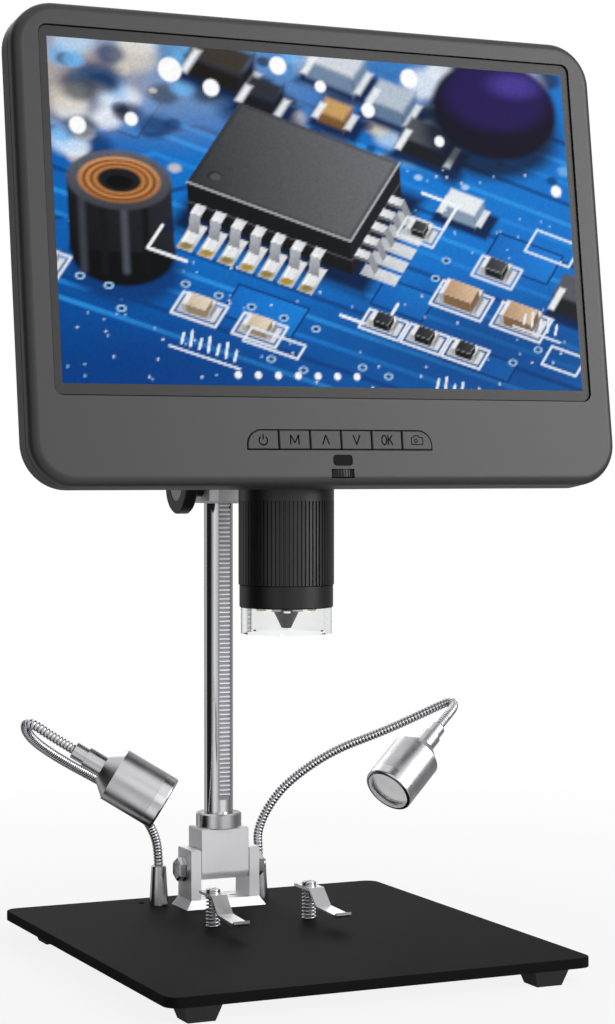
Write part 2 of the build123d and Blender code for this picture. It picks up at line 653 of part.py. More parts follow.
def lens_barrel():
    """Fixed tube of the camera: wide nose, long tube with slots for the cell's pins, and a flange."""
    nose = post(AXIS, (BARREL_BOTTOM, NOSE_TOP), NOSE_RADIUS)
    nose = chamfer(nose.edges().group_by(Axis.Z)[0], 0.4)
    tube = post(AXIS, (NOSE_TOP, TUBE_TOP), TUBE_RADIUS)
    floor = HEAD_BOTTOM + HEAD_WALL
    flange = post(AXIS, (floor, floor + FLANGE_THICK), FLANGE_RADIUS)
    bore = post(AXIS, (BARREL_BOTTOM - 1, TUBE_TOP + 1), TUBE_BORE)
    pocket = post(AXIS, (BARREL_BOTTOM - 1, BARREL_BOTTOM + LED_BOARD_THICK), LED_BOARD_RADIUS)
    groove_span = (BARREL_BOTTOM, BARREL_BOTTOM + COVER_SPIGOT)
    groove = pipe(AXIS, groove_span, COVER_RADIUS - COVER_WALL / 2, COVER_RADIUS - COVER_WALL)
    reach = CELL_TRAVEL + CELL_PIN_RADIUS + 0.4
    slot_half = CELL_PIN_RADIUS + SLIP
    spans = ((-TUBE_RADIUS - 1, TUBE_RADIUS + 1), (BARREL_Y - slot_half, BARREL_Y + slot_half))
    slots = slab(*spans, (CELL_MIDDLE - reach, CELL_MIDDLE + reach))
    return nose + tube + flange - bore - pocket - groove - slots


def clear_cover():
    """Clear shade under the barrel, with a thin spigot and notches round its rim."""
    low = BARREL_BOTTOM - COVER_HEIGHT
    bore = COVER_RADIUS - COVER_WALL
    wall = pipe(AXIS, (low, BARREL_BOTTOM), COVER_RADIUS, bore)
    spigot = pipe(AXIS, (BARREL_BOTTOM, BARREL_BOTTOM + COVER_SPIGOT), COVER_RADIUS - COVER_WALL / 2, bore)
    notch = Pos(COVER_RADIUS, 0, low) * Box(4, 2.2, 1.2)
    turn = 360 / COVER_NOTCHES
    return wall + spigot - [Pos(*AXIS) * Rot(0, 0, turn * i) * notch for i in range(COVER_NOTCHES)]


def led_board():
    """Ring board under the nose with its light-emitting diodes."""
    top = BARREL_BOTTOM + LED_BOARD_THICK
    ring = pipe(AXIS, (BARREL_BOTTOM, top), LED_BOARD_RADIUS, CONE_FLANGE)
    chip = Pos(LED_CIRCLE, 0, BARREL_BOTTOM - 0.5) * Box(2.4, 2.4, 1.0)
    turn = 360 / LED_COUNT
    return ring + [Pos(*AXIS) * Rot(0, 0, turn * i) * chip for i in range(LED_COUNT)]


def lens_nose():
    """Cone-shaped light shield round the lens opening."""
    flange = post(AXIS, (BARREL_BOTTOM, BARREL_BOTTOM + LED_BOARD_THICK), CONE_FLANGE)
    low = BARREL_BOTTOM - CONE_LENGTH
    cone = taper(AXIS, (low, BARREL_BOTTOM), CONE_TIP_RADIUS, CONE_TOP_RADIUS)
    top = BARREL_BOTTOM + LED_BOARD_THICK
    light = taper(AXIS, (low, top), CONE_TIP_RADIUS - 0.8, CONE_TOP_RADIUS - 0.8)
    return flange + cone - light


def lens_cell():
    """Sliding lens holder with two drive pins."""
    low = CELL_MIDDLE - CELL_LENGTH / 2
    cell = pipe(AXIS, (low, low + CELL_LENGTH), TUBE_BORE - SLIP, LENS_RADIUS - 1.2)
    cell -= post(AXIS, (low + 3, low + CELL_LENGTH + 1), LENS_RADIUS)
    for side in SIDES.values():
        reach = sorted((side * (LENS_RADIUS + 0.6), side * (TUBE_RADIUS + 1)))
        cell += cross_bar(reach, BARREL_Y, CELL_MIDDLE, CELL_PIN_RADIUS)
    return cell


def objective_lens():
    """Glass lens resting on the cell's step."""
    low = CELL_MIDDLE - CELL_LENGTH / 2 + 3
    return chamfer(post(AXIS, (low, low + 4), LENS_RADIUS).edges(), 0.3)


def ring_ribs(radius, z_span):
    """Upright ribs all round, as one star-shaped prism."""
    step = 2 * pi / RIB_COUNT
    points = []
    for rib in range(RIB_COUNT):
        for share, depth in ((0.0, 0), (0.5, 0), (0.62, RIB_DEPTH), (0.88, RIB_DEPTH)):
            angle = (rib + share) * step
            points.append(((radius - depth) * cos(angle), (radius - depth) * sin(angle)))
    return Pos(*AXIS) * sheet(Polygon(*points, align=None), z_span)


def focus_ring():
    """Ribbed ring that is turned to focus."""
    collar_low = RING_TOP - RING_COLLAR
    body = ring_ribs(RING_RADIUS, (RING_BOTTOM, collar_low))
    collar = post(AXIS, (collar_low, RING_TOP), RING_RADIUS)
    bore = post(AXIS, (RING_BOTTOM - 1, RING_TOP + 1), TUBE_RADIUS + SLIP)
    reach = CELL_TRAVEL + CELL_PIN_RADIUS + 0.4
    channel = post(AXIS, (CELL_MIDDLE - reach, CELL_MIDDLE + reach), TUBE_RADIUS + 1.3)
    return body + collar - bore - channel


# ---- Camera head, arm and hinge yoke ----
def head_front_y(z):
    """Front face of the head housing, parallel to the back of the screen."""
    w = -REAR_DEPTH - HEAD_BEHIND_SCREEN
    up = (z - SCREEN_HEIGHT - w * sin(LEAN)) / cos(LEAN)
    return SCREEN_Y + up * sin(LEAN) - w * cos(LEAN)


def head_screws():
    """Places (x, z) of the screws that close the head."""
    x = HEAD_WIDTH / 2 - SCREW_MARGIN
    heights = (HEAD_BOTTOM + SCREW_MARGIN + 1, HEAD_TOP - SCREW_MARGIN - 1)
    return [(side * x, z) for side in (-1, 1) for z in heights]


def head_housing():
    """Camera housing, open at the back, with a hole in its floor for the barrel."""
    half = HEAD_WIDTH / 2
    low, high = HEAD_BOTTOM, HEAD_TOP
    front = [(head_front_y(low), low), (head_front_y(high), high)]
    outer = side_cut(front + [(HEAD_BACK, high), (HEAD_BACK, low)], half)
    foremost = outer.edges().group_by(Axis.Y)[0] + outer.edges().filter_by(Axis.X).group_by(Axis.Y)[0]
    outer = fillet(foremost, 1.0)
    low_in, high_in = low + HEAD_WALL, high - HEAD_WALL
    front = [(head_front_y(low_in) + HEAD_WALL, low_in), (head_front_y(high_in) + HEAD_WALL, high_in)]
    inner = side_cut(front + [(HEAD_BACK + 1, high_in), (HEAD_BACK + 1, low_in)], half - HEAD_WALL)
    bosses = [depth_bar(x, (HEAD_BACK - 12, HEAD_BACK), z, 3.0) for x, z in head_screws()]
    holes = [depth_bar(x, (HEAD_BACK - 9, HEAD_BACK + 1), z, SCREW_RADIUS) for x, z in head_screws()]
    hole = post(AXIS, (low - 1, low_in + 1), TUBE_RADIUS)
    return outer - inner + bosses - holes - hole


def sensor_board():
    """Board on top of the tube with the image sensor looking down."""
    width, depth, thick = SENSOR_BOARD
    middle = BARREL_Y + SENSOR_BOARD_MIDDLE
    board = Pos(0, middle, TUBE_TOP + thick / 2) * Box(width, depth, thick)
    sensor = Pos(0, BARREL_Y, TUBE_TOP - SENSOR[2] / 2) * Box(*SENSOR)
    chip = Pos(0, BARREL_Y, TUBE_TOP + thick + SENSOR_CHIP[2] / 2) * Box(*SENSOR_CHIP)
    return board + sensor + [Pos(x, y, 0) * chip for x, y in SENSOR_CHIP_PLACES]


def head_arm():
    """Metal plate that closes the head, with a web and flange to the carriage."""
    half = HEAD_WIDTH / 2
    plate = slab((-half, half), (HEAD_BACK, HEAD_BACK + ARM_PLATE_THICK), (HEAD_BOTTOM, HEAD_TOP))
    web_half = ARM_WEB_WIDTH / 2
    flange_y = CARRIAGE_FRONT - ARM_FLANGE_THICK
    web = slab((-web_half, web_half), (HEAD_BACK + ARM_PLATE_THICK, flange_y), (ARM_BOTTOM, CARRIAGE_TOP))
    flange_half = CARRIAGE_WIDTH / 2 - CARRIAGE_CHAMFER + 0.4
    flange = slab((-flange_half, flange_half), (flange_y, CARRIAGE_FRONT), (ARM_BOTTOM, CARRIAGE_TOP))
    holes = [depth_bar(x, (HEAD_BACK - 1, HEAD_BACK + 4), z, SCREW_RADIUS) for x, z in head_screws()]
    holes += [depth_bar(x, (flange_y - 1, CARRIAGE_FRONT + 1), z, SCREW_RADIUS) for x, z in web_screws()]
    return plate + web + flange - holes


def arm_screws():
    """Four screws into the head and four into the carriage."""
    forward = Rot(-90, 0, 0) * pan_screw(HEAD_SCREW)
    backward = Rot(90, 0, 0) * pan_screw(ARM_SCREW)
    screws = [Pos(x, HEAD_BACK + ARM_PLATE_THICK, z) * forward for x, z in head_screws()]
    screws += [Pos(x, CARRIAGE_FRONT - ARM_FLANGE_THICK, z) * backward for x, z in web_screws()]
    return joined(screws)


def hinge_yoke():
    """Middle knuckle of the screen hinge on a plate on top of the head."""
    width, depth, thick = YOKE_PLATE
    plate = slab((-width / 2, width / 2), (HINGE_Y - 4, HINGE_Y - 4 + depth), (HEAD_TOP, HEAD_TOP + thick))
    half = YOKE_WIDTH / 2
    knuckle = cross_bar((-half, half), HINGE_Y, HINGE_Z, HINGE_RADIUS)
    web = slab((-half, half), (HINGE_Y - 4, HINGE_Y + HINGE_RADIUS), (YOKE_TOP, HINGE_Z))
    return plate + knuckle + web - cross_bar((-half - 1, half + 1), HINGE_Y, HINGE_Z, HINGE_PIN_RADIUS)


def hinge_pin():
    """Friction hinge pin with a head at each end."""
    end = YOKE_WIDTH / 2 + 2 * GAP + HINGE_LUG
    shank = cross_bar((-end, end), HINGE_Y, HINGE_Z, HINGE_PIN_RADIUS)
    heads = [cross_bar(sorted((s * end, s * (end + 1.2))), HINGE_Y, HINGE_Z, 3.2) for s in SIDES.values()]
    return shank + heads


# ---- Screen; built flat, u to the right, v up and w outwards, then set in place ----
def in_screen(shape):
    """Move from the screen's flat frame to its place."""
    return SCREEN.location * shape


def housing_outline(inset, corner):
    """Outline of the screen housing, drawn in by an inset."""
    outline = RectangleRounded(HOUSING_WIDTH - 2 * inset, HOUSING_HEIGHT - 2 * inset, corner)
    return Pos(0, HOUSING_V) * outline


def window_size(margin, fit=0.0):
    """Width and height of the lit area plus its margins, less a fitting gap all round."""
    return ACTIVE_WIDTH + 2 * (margin[0] - fit), ACTIVE_HEIGHT + 2 * (margin[1] - fit)


def wheel_body(extra):
    """Dimmer wheel as a plain disc, with extra room all round."""
    middle = WHEEL_TOP - WHEEL_THICK / 2
    disc = Rot(90, 0, 0) * Cylinder(WHEEL_RADIUS + extra, WHEEL_THICK + 2 * min(extra, 0.28))
    return Pos(WHEEL_CENTRE, middle, WHEEL_W) * disc


def key_opening(inset):
    """Outline of the row of keys: square below, rounded at its two upper ends."""
    size = (KEY_ROW_WIDTH - 2 * inset, KEY_HEIGHT - 2 * inset)
    outline = Pos(KEY_CENTRE, KEY_ROW) * Rectangle(*size)
    return fillet(outline.vertices().group_by(Axis.Y)[-1], KEY_CORNER - inset)


def front_bezel():
    """Front shell: rounded frame round the glass, with openings for keys, receiver and wheel."""
    shell = sheet(housing_outline(0, HOUSING_CORNER), (-BEZEL_DEPTH, 0))
    shell = fillet(shell.edges().group_by(Axis.Z)[-1], BEZEL_ROUNDING)
    room = HOUSING_WALL
    shell -= sheet(housing_outline(room, HOUSING_CORNER - room), (-BEZEL_DEPTH - 1, -room))
    shell -= sheet(RectangleRounded(*window_size(WINDOW_MARGIN), WINDOW_CORNER), (-BEZEL_DEPTH, 1))
    shell -= sheet(key_opening(-KEY_ROOM), (-BEZEL_DEPTH, 1))
    receiver = Pos(*RECEIVER_PLACE) * RectangleRounded(*RECEIVER_SIZE, 1.2)
    shell -= sheet(receiver, (-BEZEL_DEPTH, 1))
    for u, v in CASE_SCREWS:
        shell += post((u, v), (-BEZEL_DEPTH, -room), CASE_BOSS) - post((u, v), (-BEZEL_DEPTH, -room), 1.0)
    return shell - wheel_body(GAP)


def rear_solid(inset, front, back):
    """Rear cover's form: straight sides, then a slope to a smaller flat back."""
    straight = sheet(housing_outline(inset, HOUSING_CORNER - inset), (-SIDE_DEPTH, front))
    near = Pos(0, 0, -SIDE_DEPTH) * housing_outline(inset, HOUSING_CORNER - inset)
    far = Pos(0, 0, back) * housing_outline(REAR_INSET + inset, REAR_CORNER)
    return straight + loft([near, far], ruled=True)


def vent_slots():
    """Rows of upright cooling slots in the flat back."""
    width, height = VENT_SLOT
    slot = sheet(SlotOverall(height, width, rotation=90), (-REAR_DEPTH - 1, -REAR_DEPTH + HOUSING_WALL + 1))
    row = [(i - (VENT_SLOTS - 1) / 2) * VENT_PITCH for i in range(VENT_SLOTS)]
    return [Pos(side * VENT_GROUP + u, VENT_ROW) * slot for side in (-1, 1) for u in row]


def locating_lip(front):
    """Thin wall standing up inside the bezel."""
    wall = HOUSING_WALL
    root = sheet(housing_outline(wall, HOUSING_CORNER - wall), (front - LIP_ROOT, front))
    inset = wall + LIP_PLAY
    tongue = sheet(housing_outline(inset, HOUSING_CORNER - inset), (front, front + LIP_HEIGHT))
    tongue -= [post(place, (front, 0), CASE_BOSS + LIP_ROOM) for place in CASE_SCREWS]
    inner = wall + LIP_THICK
    return root + tongue - sheet(housing_outline(inner, HOUSING_CORNER - inner), (-SIDE_DEPTH, 0))


def rear_cover():
    """Rear shell with screw wells, vents, port openings and pillars for the board."""
    front = -BEZEL_DEPTH - SEAM
    wall = HOUSING_WALL
    shell = rear_solid(0, front, -REAR_DEPTH)
    inner = rear_solid(wall, front + 1, -REAR_DEPTH + wall)
    wells = joined(post(place, (-REAR_DEPTH, -BEZEL_DEPTH), CASE_BOSS) for place in CASE_SCREWS)
    shell = shell - inner + (wells & rear_solid(0, -BEZEL_DEPTH, -REAR_DEPTH))
    shell += locating_lip(front)
    u, v = BOARD_PLACE
    across, up = BOARD_PILLARS
    pillar = post((u, v), (-REAR_DEPTH + wall, BOARD_FRONT - BOARD_SIZE[2]), BOARD_PILLAR)
    shell += [Pos(a, b, 0) * pillar for a in (-across, across) for b in (-up, up)]
    for place in CASE_SCREWS:
        shell -= post(place, (-REAR_DEPTH - 1, -SIDE_DEPTH + 0.2), SCREW_HEAD_RADIUS + 0.15)
        shell -= post(place, (-SIDE_DEPTH, front + 1), SCREW_RADIUS)
    for v, width, height in PORTS:
        across = (HOUSING_WIDTH / 2 - wall - 2, HOUSING_WIDTH / 2 + 1)
        shell -= slab(across, (v - width / 2, v + width / 2), (BOARD_FRONT, BOARD_FRONT + height))
    return shell - vent_slots() - wheel_body(GAP)


def lcd_panel():
    """Display panel behind the bezel."""
    return sheet(Rectangle(*window_size(PANEL_MARGIN)), (-HOUSING_WALL - PANEL_THICK, -HOUSING_WALL))


def screen_window():
    """Front glass, set a little below the bezel's face."""
    size = window_size(WINDOW_MARGIN, WINDOW_FIT)
    return sheet(RectangleRounded(*size, WINDOW_CORNER - WINDOW_FIT), (-HOUSING_WALL, -GLASS_RECESS))


def main_board():
    """Main board with its larger chips, held on the rear cover's pillars."""
    u, v = BOARD_PLACE
    width, height, thick = BOARD_SIZE
    board = Pos(u, v, BOARD_FRONT - thick / 2) * Box(width, height, thick)
    chips = [(-40, 10, 14, 14, 1.8), (-5, -8, 20, 20, 2.2), (40, 12, 10, 16, 1.6), (-45, -18, 9, 7, 4.0)]
    under = BOARD_FRONT - thick
    for a, b, long, wide, tall in chips:
        board += slab((u + a, u + a + long), (v + b, v + b + wide), (under - tall, under))
    return board


def port_sockets():
    """Metal sockets at the board's right edge, with hollow mouths."""
    edge = HOUSING_WIDTH / 2 - HOUSING_WALL
    sockets = []
    for v, width, height in PORTS:
        half = width / 2
        body = slab((edge - SOCKET_DEPTH, edge), (v - half, v + half), (BOARD_FRONT, BOARD_FRONT + height))
        half -= SOCKET_WALL
        inside = (BOARD_FRONT + SOCKET_WALL, BOARD_FRONT + height - SOCKET_WALL)
        sockets.append(body - slab((edge - SOCKET_MOUTH, edge + 1), (v - half, v + half), inside))
    return joined(sockets)


def key_board():
    """Narrow board behind the keys with a switch for each, and the dimmer's body and spindle."""
    half = KEY_ROW_WIDTH / 2
    back = KEY_PROUD - KEY_DEPTH
    top = back - KEY_TRAVEL - 0.1
    bottom = WHEEL_TOP + 0.4
    board = slab((KEY_CENTRE - half, KEY_CENTRE + half), (bottom + 2, KEY_ROW + 4), (top - 3.0, top - 1.6))
    for u in key_places():
        board += slab((u - 2.5, u + 2.5), (KEY_ROW - 2.5, KEY_ROW + 2.5), (top - 1.6, top))
    dimmer = Pos(WHEEL_CENTRE, bottom + 1.5, WHEEL_W) * Rot(90, 0, 0) * Cylinder(2.8, 3.0)
    spindle = Pos(WHEEL_CENTRE, WHEEL_TOP - 0.8, WHEEL_W) * Rot(90, 0, 0) * Cylinder(WHEEL_SHAFT, 2.8)
    return board + dimmer + spindle


def circuit_boards():
    """Main board and key board."""
    return joined([main_board(), key_board()])


def key_places():
    """Middle of each key along the row."""
    return [KEY_CENTRE + (i - (KEY_COUNT - 1) / 2) * KEY_PITCH for i in range(KEY_COUNT)]


def key_cap(u):
    """One key: its share of the row's outline, with a flange behind the bezel."""
    half = (KEY_PITCH - KEY_GAP) / 2
    cell = Pos(u, KEY_ROW) * Rectangle(2 * half, KEY_HEIGHT * 2)
    cap = sheet(key_opening(KEY_GAP / 2) & cell, (KEY_PROUD - KEY_DEPTH, KEY_PROUD))
    cap = chamfer(cap.edges().group_by(Axis.Z)[-1], 0.25)
    low = KEY_PROUD - KEY_DEPTH
    flange = slab((u - half, u + half), (KEY_ROW - KEY_HEIGHT / 2 - 0.8, KEY_ROW + KEY_HEIGHT / 2 + 0.8),
                  (low, -HOUSING_WALL - 0.3))
    return cap + flange


def receiver_window():
    """Dark remote-control window in the chin."""
    width, height = RECEIVER_SIZE
    return sheet(Pos(*RECEIVER_PLACE) * RectangleRounded(width, height, 1.2), (-HOUSING_WALL, -0.3))


def thumb_wheel():
    """Knurled wheel whose rim stands out of the chin."""
    step = 2 * pi / WHEEL_TEETH
    points = []
    for tooth in range(WHEEL_TEETH):
        for share, depth in ((0.0, 0), (0.45, 0), (0.55, WHEEL_TOOTH), (0.9, WHEEL_TOOTH)):
            angle = (tooth + share) * step
            points.append(((WHEEL_RADIUS - depth) * cos(angle), (WHEEL_RADIUS - depth) * sin(angle)))
    half = WHEEL_THICK / 2
    disc = sheet(Polygon(*points, align=None), (-half, half))
    disc -= post((0, 0), (-half, half), WHEEL_SHAFT + SLIP)
    return Pos(WHEEL_CENTRE, WHEEL_TOP - half, WHEEL_W) * Rot(90, 0, 0) * disc


def screen_hinge():
    """Plate on the back of the screen with the two outer knuckles."""
    width, height, thick = HINGE_PLATE
    back = -REAR_DEPTH
    low = HINGE_ABOVE - HINGE_RADIUS - 1
    plate = slab((-width / 2, width / 2), (low, low + height), (back - thick, back))
    start = YOKE_WIDTH / 2 + GAP
    lugs = []
    for s in SIDES.values():
        span = sorted((s * start, s * (start + HINGE_LUG)))
        rise = (HINGE_ABOVE - HINGE_RADIUS + 1, HINGE_ABOVE + HINGE_RADIUS)
        lugs.append(slab(span, rise, (HINGE_W, back - thick)))
        lugs.append(cross_bar(span, HINGE_ABOVE, HINGE_W, HINGE_RADIUS))
    bore = cross_bar((-width, width), HINGE_ABOVE, HINGE_W, HINGE_PIN_RADIUS + SLIP)
    return plate + lugs - bore


def case_screws():
    """Screws from the back that hold the two shells together."""
    screw = Pos(0, 0, -SIDE_DEPTH + 0.2) * Rot(180, 0, 0) * pan_screw(SIDE_DEPTH - BEZEL_DEPTH - SEAM - 0.2)
    tip = post((0, 0), (-BEZEL_DEPTH - SEAM, -HOUSING_WALL - 0.4), 1.0)
    return joined(Pos(*place) * (screw + tip) for place in CASE_SCREWS)


# ---- Lamps; built along +Z with the lens at the top, then aimed ----
def lamp_frame(lamp):
    """Frame at a lamp's middle, Z the way that it shines."""
    return Plane(origin=lamp["middle"], z_dir=lamp["aim"]).location


def neck_path(lamp, side):
    """Gooseneck's line: straight out of the ferrule, round its points and into the lamp's sleeve."""
    place = (side * FERRULE_PLACE[0], FERRULE_PLACE[1])
    aim = Vector(*lamp["aim"]).normalized()
    end = Vector(*lamp["middle"]) - aim * LAMP_TAIL
    points = [Vector(*place, FERRULE_TOP - NECK_DEPTH), Vector(*place, FERRULE_TOP + NECK_LEAD)]
    points += [Vector(*point) for point in lamp["path"]] + [end - aim * NECK_RUN_IN, end]
    radii = []
    for before, point, after in zip(points, points[1:], points[2:]):
        turn = radians((point - before).get_angle(after - point))
        radii.append(0.45 * min((point - before).length, (after - point).length) / tan(turn / 2))
    return FilletPolyline(*points, radius=radii), end


def gooseneck(lamp, side):
    """Flexible neck as a round bar, with a ball where it bends at the lamp."""
    path, end = neck_path(lamp, side)
    section = Plane(origin=path @ 0, z_dir=path % 0) * Circle(NECK_RADIUS)
    return sweep(section, path=path) + Pos(*end) * Sphere(BALL_RADIUS)


def lamp_head(lamp):
    """Turned aluminium body: open cup, sloped back and a stepped sleeve for the neck."""
    front = LAMP_LENGTH / 2 - LAMP_RING
    back = -LAMP_LENGTH / 2
    cup = post((0, 0), (back, front), LAMP_RADIUS)
    slope = taper((0, 0), (-LAMP_BACK, back), LAMP_BACK_RADIUS, LAMP_RADIUS - 0.3)
    step = -LAMP_BACK - SLEEVE_LENGTHS[0]
    wide, narrow = SLEEVE_RADII
    sleeve = post((0, 0), (step, -LAMP_BACK), wide) + post((0, 0), (-LAMP_TAIL, step), narrow)
    hollow = post((0, 0), (back + 2, front + 1), LAMP_RADIUS - LAMP_WALL)
    socket = Pos(0, 0, -LAMP_TAIL) * Sphere(BALL_RADIUS + SLIP)
    wire = post((0, 0), (-LAMP_TAIL, back + 3), 1.0)
    return lamp_frame(lamp) * (cup + slope + sleeve - hollow - socket - wire)


def lamp_ring(lamp):
    """Front ring that screws on over the lens."""
    front = LAMP_LENGTH / 2
    ring = pipe((0, 0), (front - LAMP_RING, front), LAMP_RADIUS, LAMP_RADIUS - LAMP_WALL)
    ring = fillet(ring.edges().group_by(Axis.Z)[-1].sort_by(SortBy.LENGTH)[-1], 0.8)
    return lamp_frame(lamp) * ring


def lamp_lens(lamp):
    """Domed lens with its flange inside the ring."""
    low = LAMP_LENGTH / 2 - LAMP_RING
    disc = post((0, 0), (low, low + LAMP_LENS), LAMP_RADIUS - LAMP_WALL)
    return lamp_frame(lamp) * chamfer(disc.edges().group_by(Axis.Z)[-1], 0.8)


# ---- All nodes ----
KEY_NAMES = ("power", "menu", "up", "down", "ok", "snap")


def save_base():
    """Nodes of the standing base and its clips."""
    save("base_plate", base_plate())
    save("base_feet", joined(foot(place) for place in FEET))
    save("foot_screws", foot_screws())
    save("column_bracket", column_bracket())
    save("bracket_screws", bracket_screws())
    save("tilt_bolt", tilt_bolt())
    save("tilt_nut", tilt_nut())
    save("lamp_ferrules", joined(ferrule(side) for side in SIDES.values()))
    save("ferrule_nuts", joined(ferrule_nut(side) for side in SIDES.values()))
    save("clip_screws", joined(clip_screw(side) for side in SIDES.values()))
    save("clip_springs", joined(clip_spring(side) for side in SIDES.values()))


def save_column():
    """Nodes of the column, the carriage and the focus drive."""
    save("column_block", column_block())
    save("column_collar", column_collar())
    save("column_rod", column_rod())
    save("rack", rack())
    save("column_cap", column_cap())
    save("carriage_block", carriage_block())
    save("carriage_bushes", carriage_bushes())
    save("pinion_shaft", pinion_shaft())
    save("focus_knobs", joined(focus_knob(side) for side in SIDES.values()))
    save("knob_inlays", joined(knob_inlay(side) for side in SIDES.values()))


def save_camera():
    """Nodes of the camera head."""
    save("lens_barrel", lens_barrel())
    save("clear_cover", clear_cover())
    save("led_board", led_board())
    save("lens_nose", lens_nose())
    save("lens_cell", lens_cell())
    save("objective_lens", objective_lens())
    save("focus_ring", focus_ring())
    save("head_housing", head_housing())
    save("sensor_board", sensor_board())
    save("head_arm", head_arm())
    save("arm_screws", arm_screws())
    save("hinge_yoke", hinge_yoke())
    save("hinge_pin", hinge_pin())


def save_screen():
    """Nodes of the screen, its keys and its wheel."""
    for make in (front_bezel, rear_cover, lcd_panel, screen_window, circuit_boards, port_sockets,
                 receiver_window, thumb_wheel, screen_hinge, case_screws):
        save(make.__name__, in_screen(make()))
    for name, u in zip(KEY_NAMES, key_places()):
        save(f"{name}_key", in_screen(key_cap(u)))


def save_lamps_and_clips():
    """Nodes that come in a left and a right one."""
    for name, side in SIDES.items():
        lamp = LAMPS[name]
        save(f"{name}_gooseneck", gooseneck(lamp, side))
        save(f"{name}_lamp_head", lamp_head(lamp))
        save(f"{name}_lamp_ring", lamp_ring(lamp))
        save(f"{name}_lamp_lens", lamp_lens(lamp))
        save(f"{name}_clip", stage_clip(side))


os.makedirs("parts", exist_ok=True)
save_base()
save_column()
save_camera()
save_screen()
save_lamps_and_clips()
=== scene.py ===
import bmesh
import bpy
import numpy as np
from math import cos, hypot, pi, radians, sin
from mathutils import Matrix, Vector


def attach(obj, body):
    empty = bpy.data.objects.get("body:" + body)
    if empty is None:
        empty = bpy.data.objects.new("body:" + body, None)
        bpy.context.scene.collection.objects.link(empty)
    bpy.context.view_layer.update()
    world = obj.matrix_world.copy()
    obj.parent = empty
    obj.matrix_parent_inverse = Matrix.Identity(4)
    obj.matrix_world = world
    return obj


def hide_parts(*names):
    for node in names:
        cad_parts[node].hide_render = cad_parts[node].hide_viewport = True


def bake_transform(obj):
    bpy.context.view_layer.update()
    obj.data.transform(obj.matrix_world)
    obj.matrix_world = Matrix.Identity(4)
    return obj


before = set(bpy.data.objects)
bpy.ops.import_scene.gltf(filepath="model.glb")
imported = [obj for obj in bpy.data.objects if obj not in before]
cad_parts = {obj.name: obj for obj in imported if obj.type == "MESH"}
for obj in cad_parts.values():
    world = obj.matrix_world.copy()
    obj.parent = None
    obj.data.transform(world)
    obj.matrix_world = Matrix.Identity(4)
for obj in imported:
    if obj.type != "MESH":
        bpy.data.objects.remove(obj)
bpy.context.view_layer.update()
mm = 0.001
scene = bpy.context.scene
scene.view_settings.view_transform = "Standard"
print("frame loaded:", len(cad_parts), "nodes")


def hexColour(code):
    # sRGB hex to the linear values that shaders use
    channels = [int(code[i:i + 2], 16) / 255 for i in (1, 3, 5)]
    return [c / 12.92 if c <= 0.04045 else ((c + 0.055) / 1.055) ** 2.4 for c in channels] + [1.0]


def addNode(tree, kind, sockets=None, **settings):
    node = tree.nodes.new("ShaderNode" + kind)
    for name, value in settings.items():
        setattr(node, name, value)
    for name, value in (sockets or {}).items():
        if isinstance(value, bpy.types.NodeSocket):
            tree.links.new(value, node.inputs[name])
        else:
            node.inputs[name].default_value = value
    return node


# Camera, floor and lights
studio = {
    "eye": (-0.3363, -0.7499, 0.1666),
    "turn": 24.72,
    "down": 1.06,
    "lens": 85.1,
    "sensor": 36.0,
    "floorSize": 8.0,
    "floorColour": "#f4f4f4",
    "floorRough": 0.95,
    # how much of the floor the eye sees as plain white, near the object and further out, and those distances
    "floorWhite": (0.87, 1.0),
    "floorFade": (0.1, 0.5),
    "roomLevel": 0.16,
    "aimAt": (0.0, 0.0, 0.15),
    "lamps": {
        "keyLight": {"place": (1.35, -1.4, 0.8), "size": (1.3, 1.3), "watts": 27.0},
        "frontLight": {"place": (-0.45, -1.9, 0.5), "size": (1.0, 1.0), "watts": 2.0},
        "backLight": {"place": (0.4, 1.6, 1.0), "size": (1.2, 1.2), "watts": 8.0},
    },
    # What a mirror sees round about: degrees to the right of straight ahead, and how bright it is there
    "ahead": (-0.418, -0.908, 0.0),
    "aside": (0.908, -0.418, 0.0),
    "bands": [(-180, 0.3), (-150, 0.2), (-126, 0.5), (-112, 0.6), (-104, 0.02), (-64, 0.01), (-56, 0.15),
              (-44, 0.55), (-32, 0.92), (-20, 0.88), (-2, 0.5), (10, 0.5), (24, 0.95), (52, 0.95), (70, 0.45),
              (96, 0.2), (125, 0.25), (150, 0.35), (180, 0.4)],
    # and how bright overhead, with the heights between which that sets in
    "overhead": 0.95,
    "overheadFrom": (0.55, 0.85),
}


def placeCamera(look):
    cameraData = bpy.data.cameras.new("camera")
    cameraData.lens = look["lens"]
    cameraData.sensor_fit = "VERTICAL"
    cameraData.sensor_height = look["sensor"]
    camera = bpy.data.objects.new("camera", cameraData)
    camera.location = look["eye"]
    camera.rotation_euler = (radians(90 - look["down"]), 0, radians(-look["turn"]))
    scene.collection.objects.link(camera)
    scene.camera = camera


def sortRays(tree):
    # 1 where the eye or a glass looks, and 1 where a mirror does
    ray = addNode(tree, "LightPath")
    seen = addNode(tree, "Math", {0: ray.outputs["Is Camera Ray"], 1: ray.outputs["Is Transmission Ray"]},
                   operation="MAXIMUM")
    mirrored = addNode(tree, "Math", {0: ray.outputs["Is Glossy Ray"], 1: ray.outputs["Is Transmission Ray"]},
                       operation="SUBTRACT", use_clamp=True)
    return seen.outputs[0], mirrored.outputs[0]


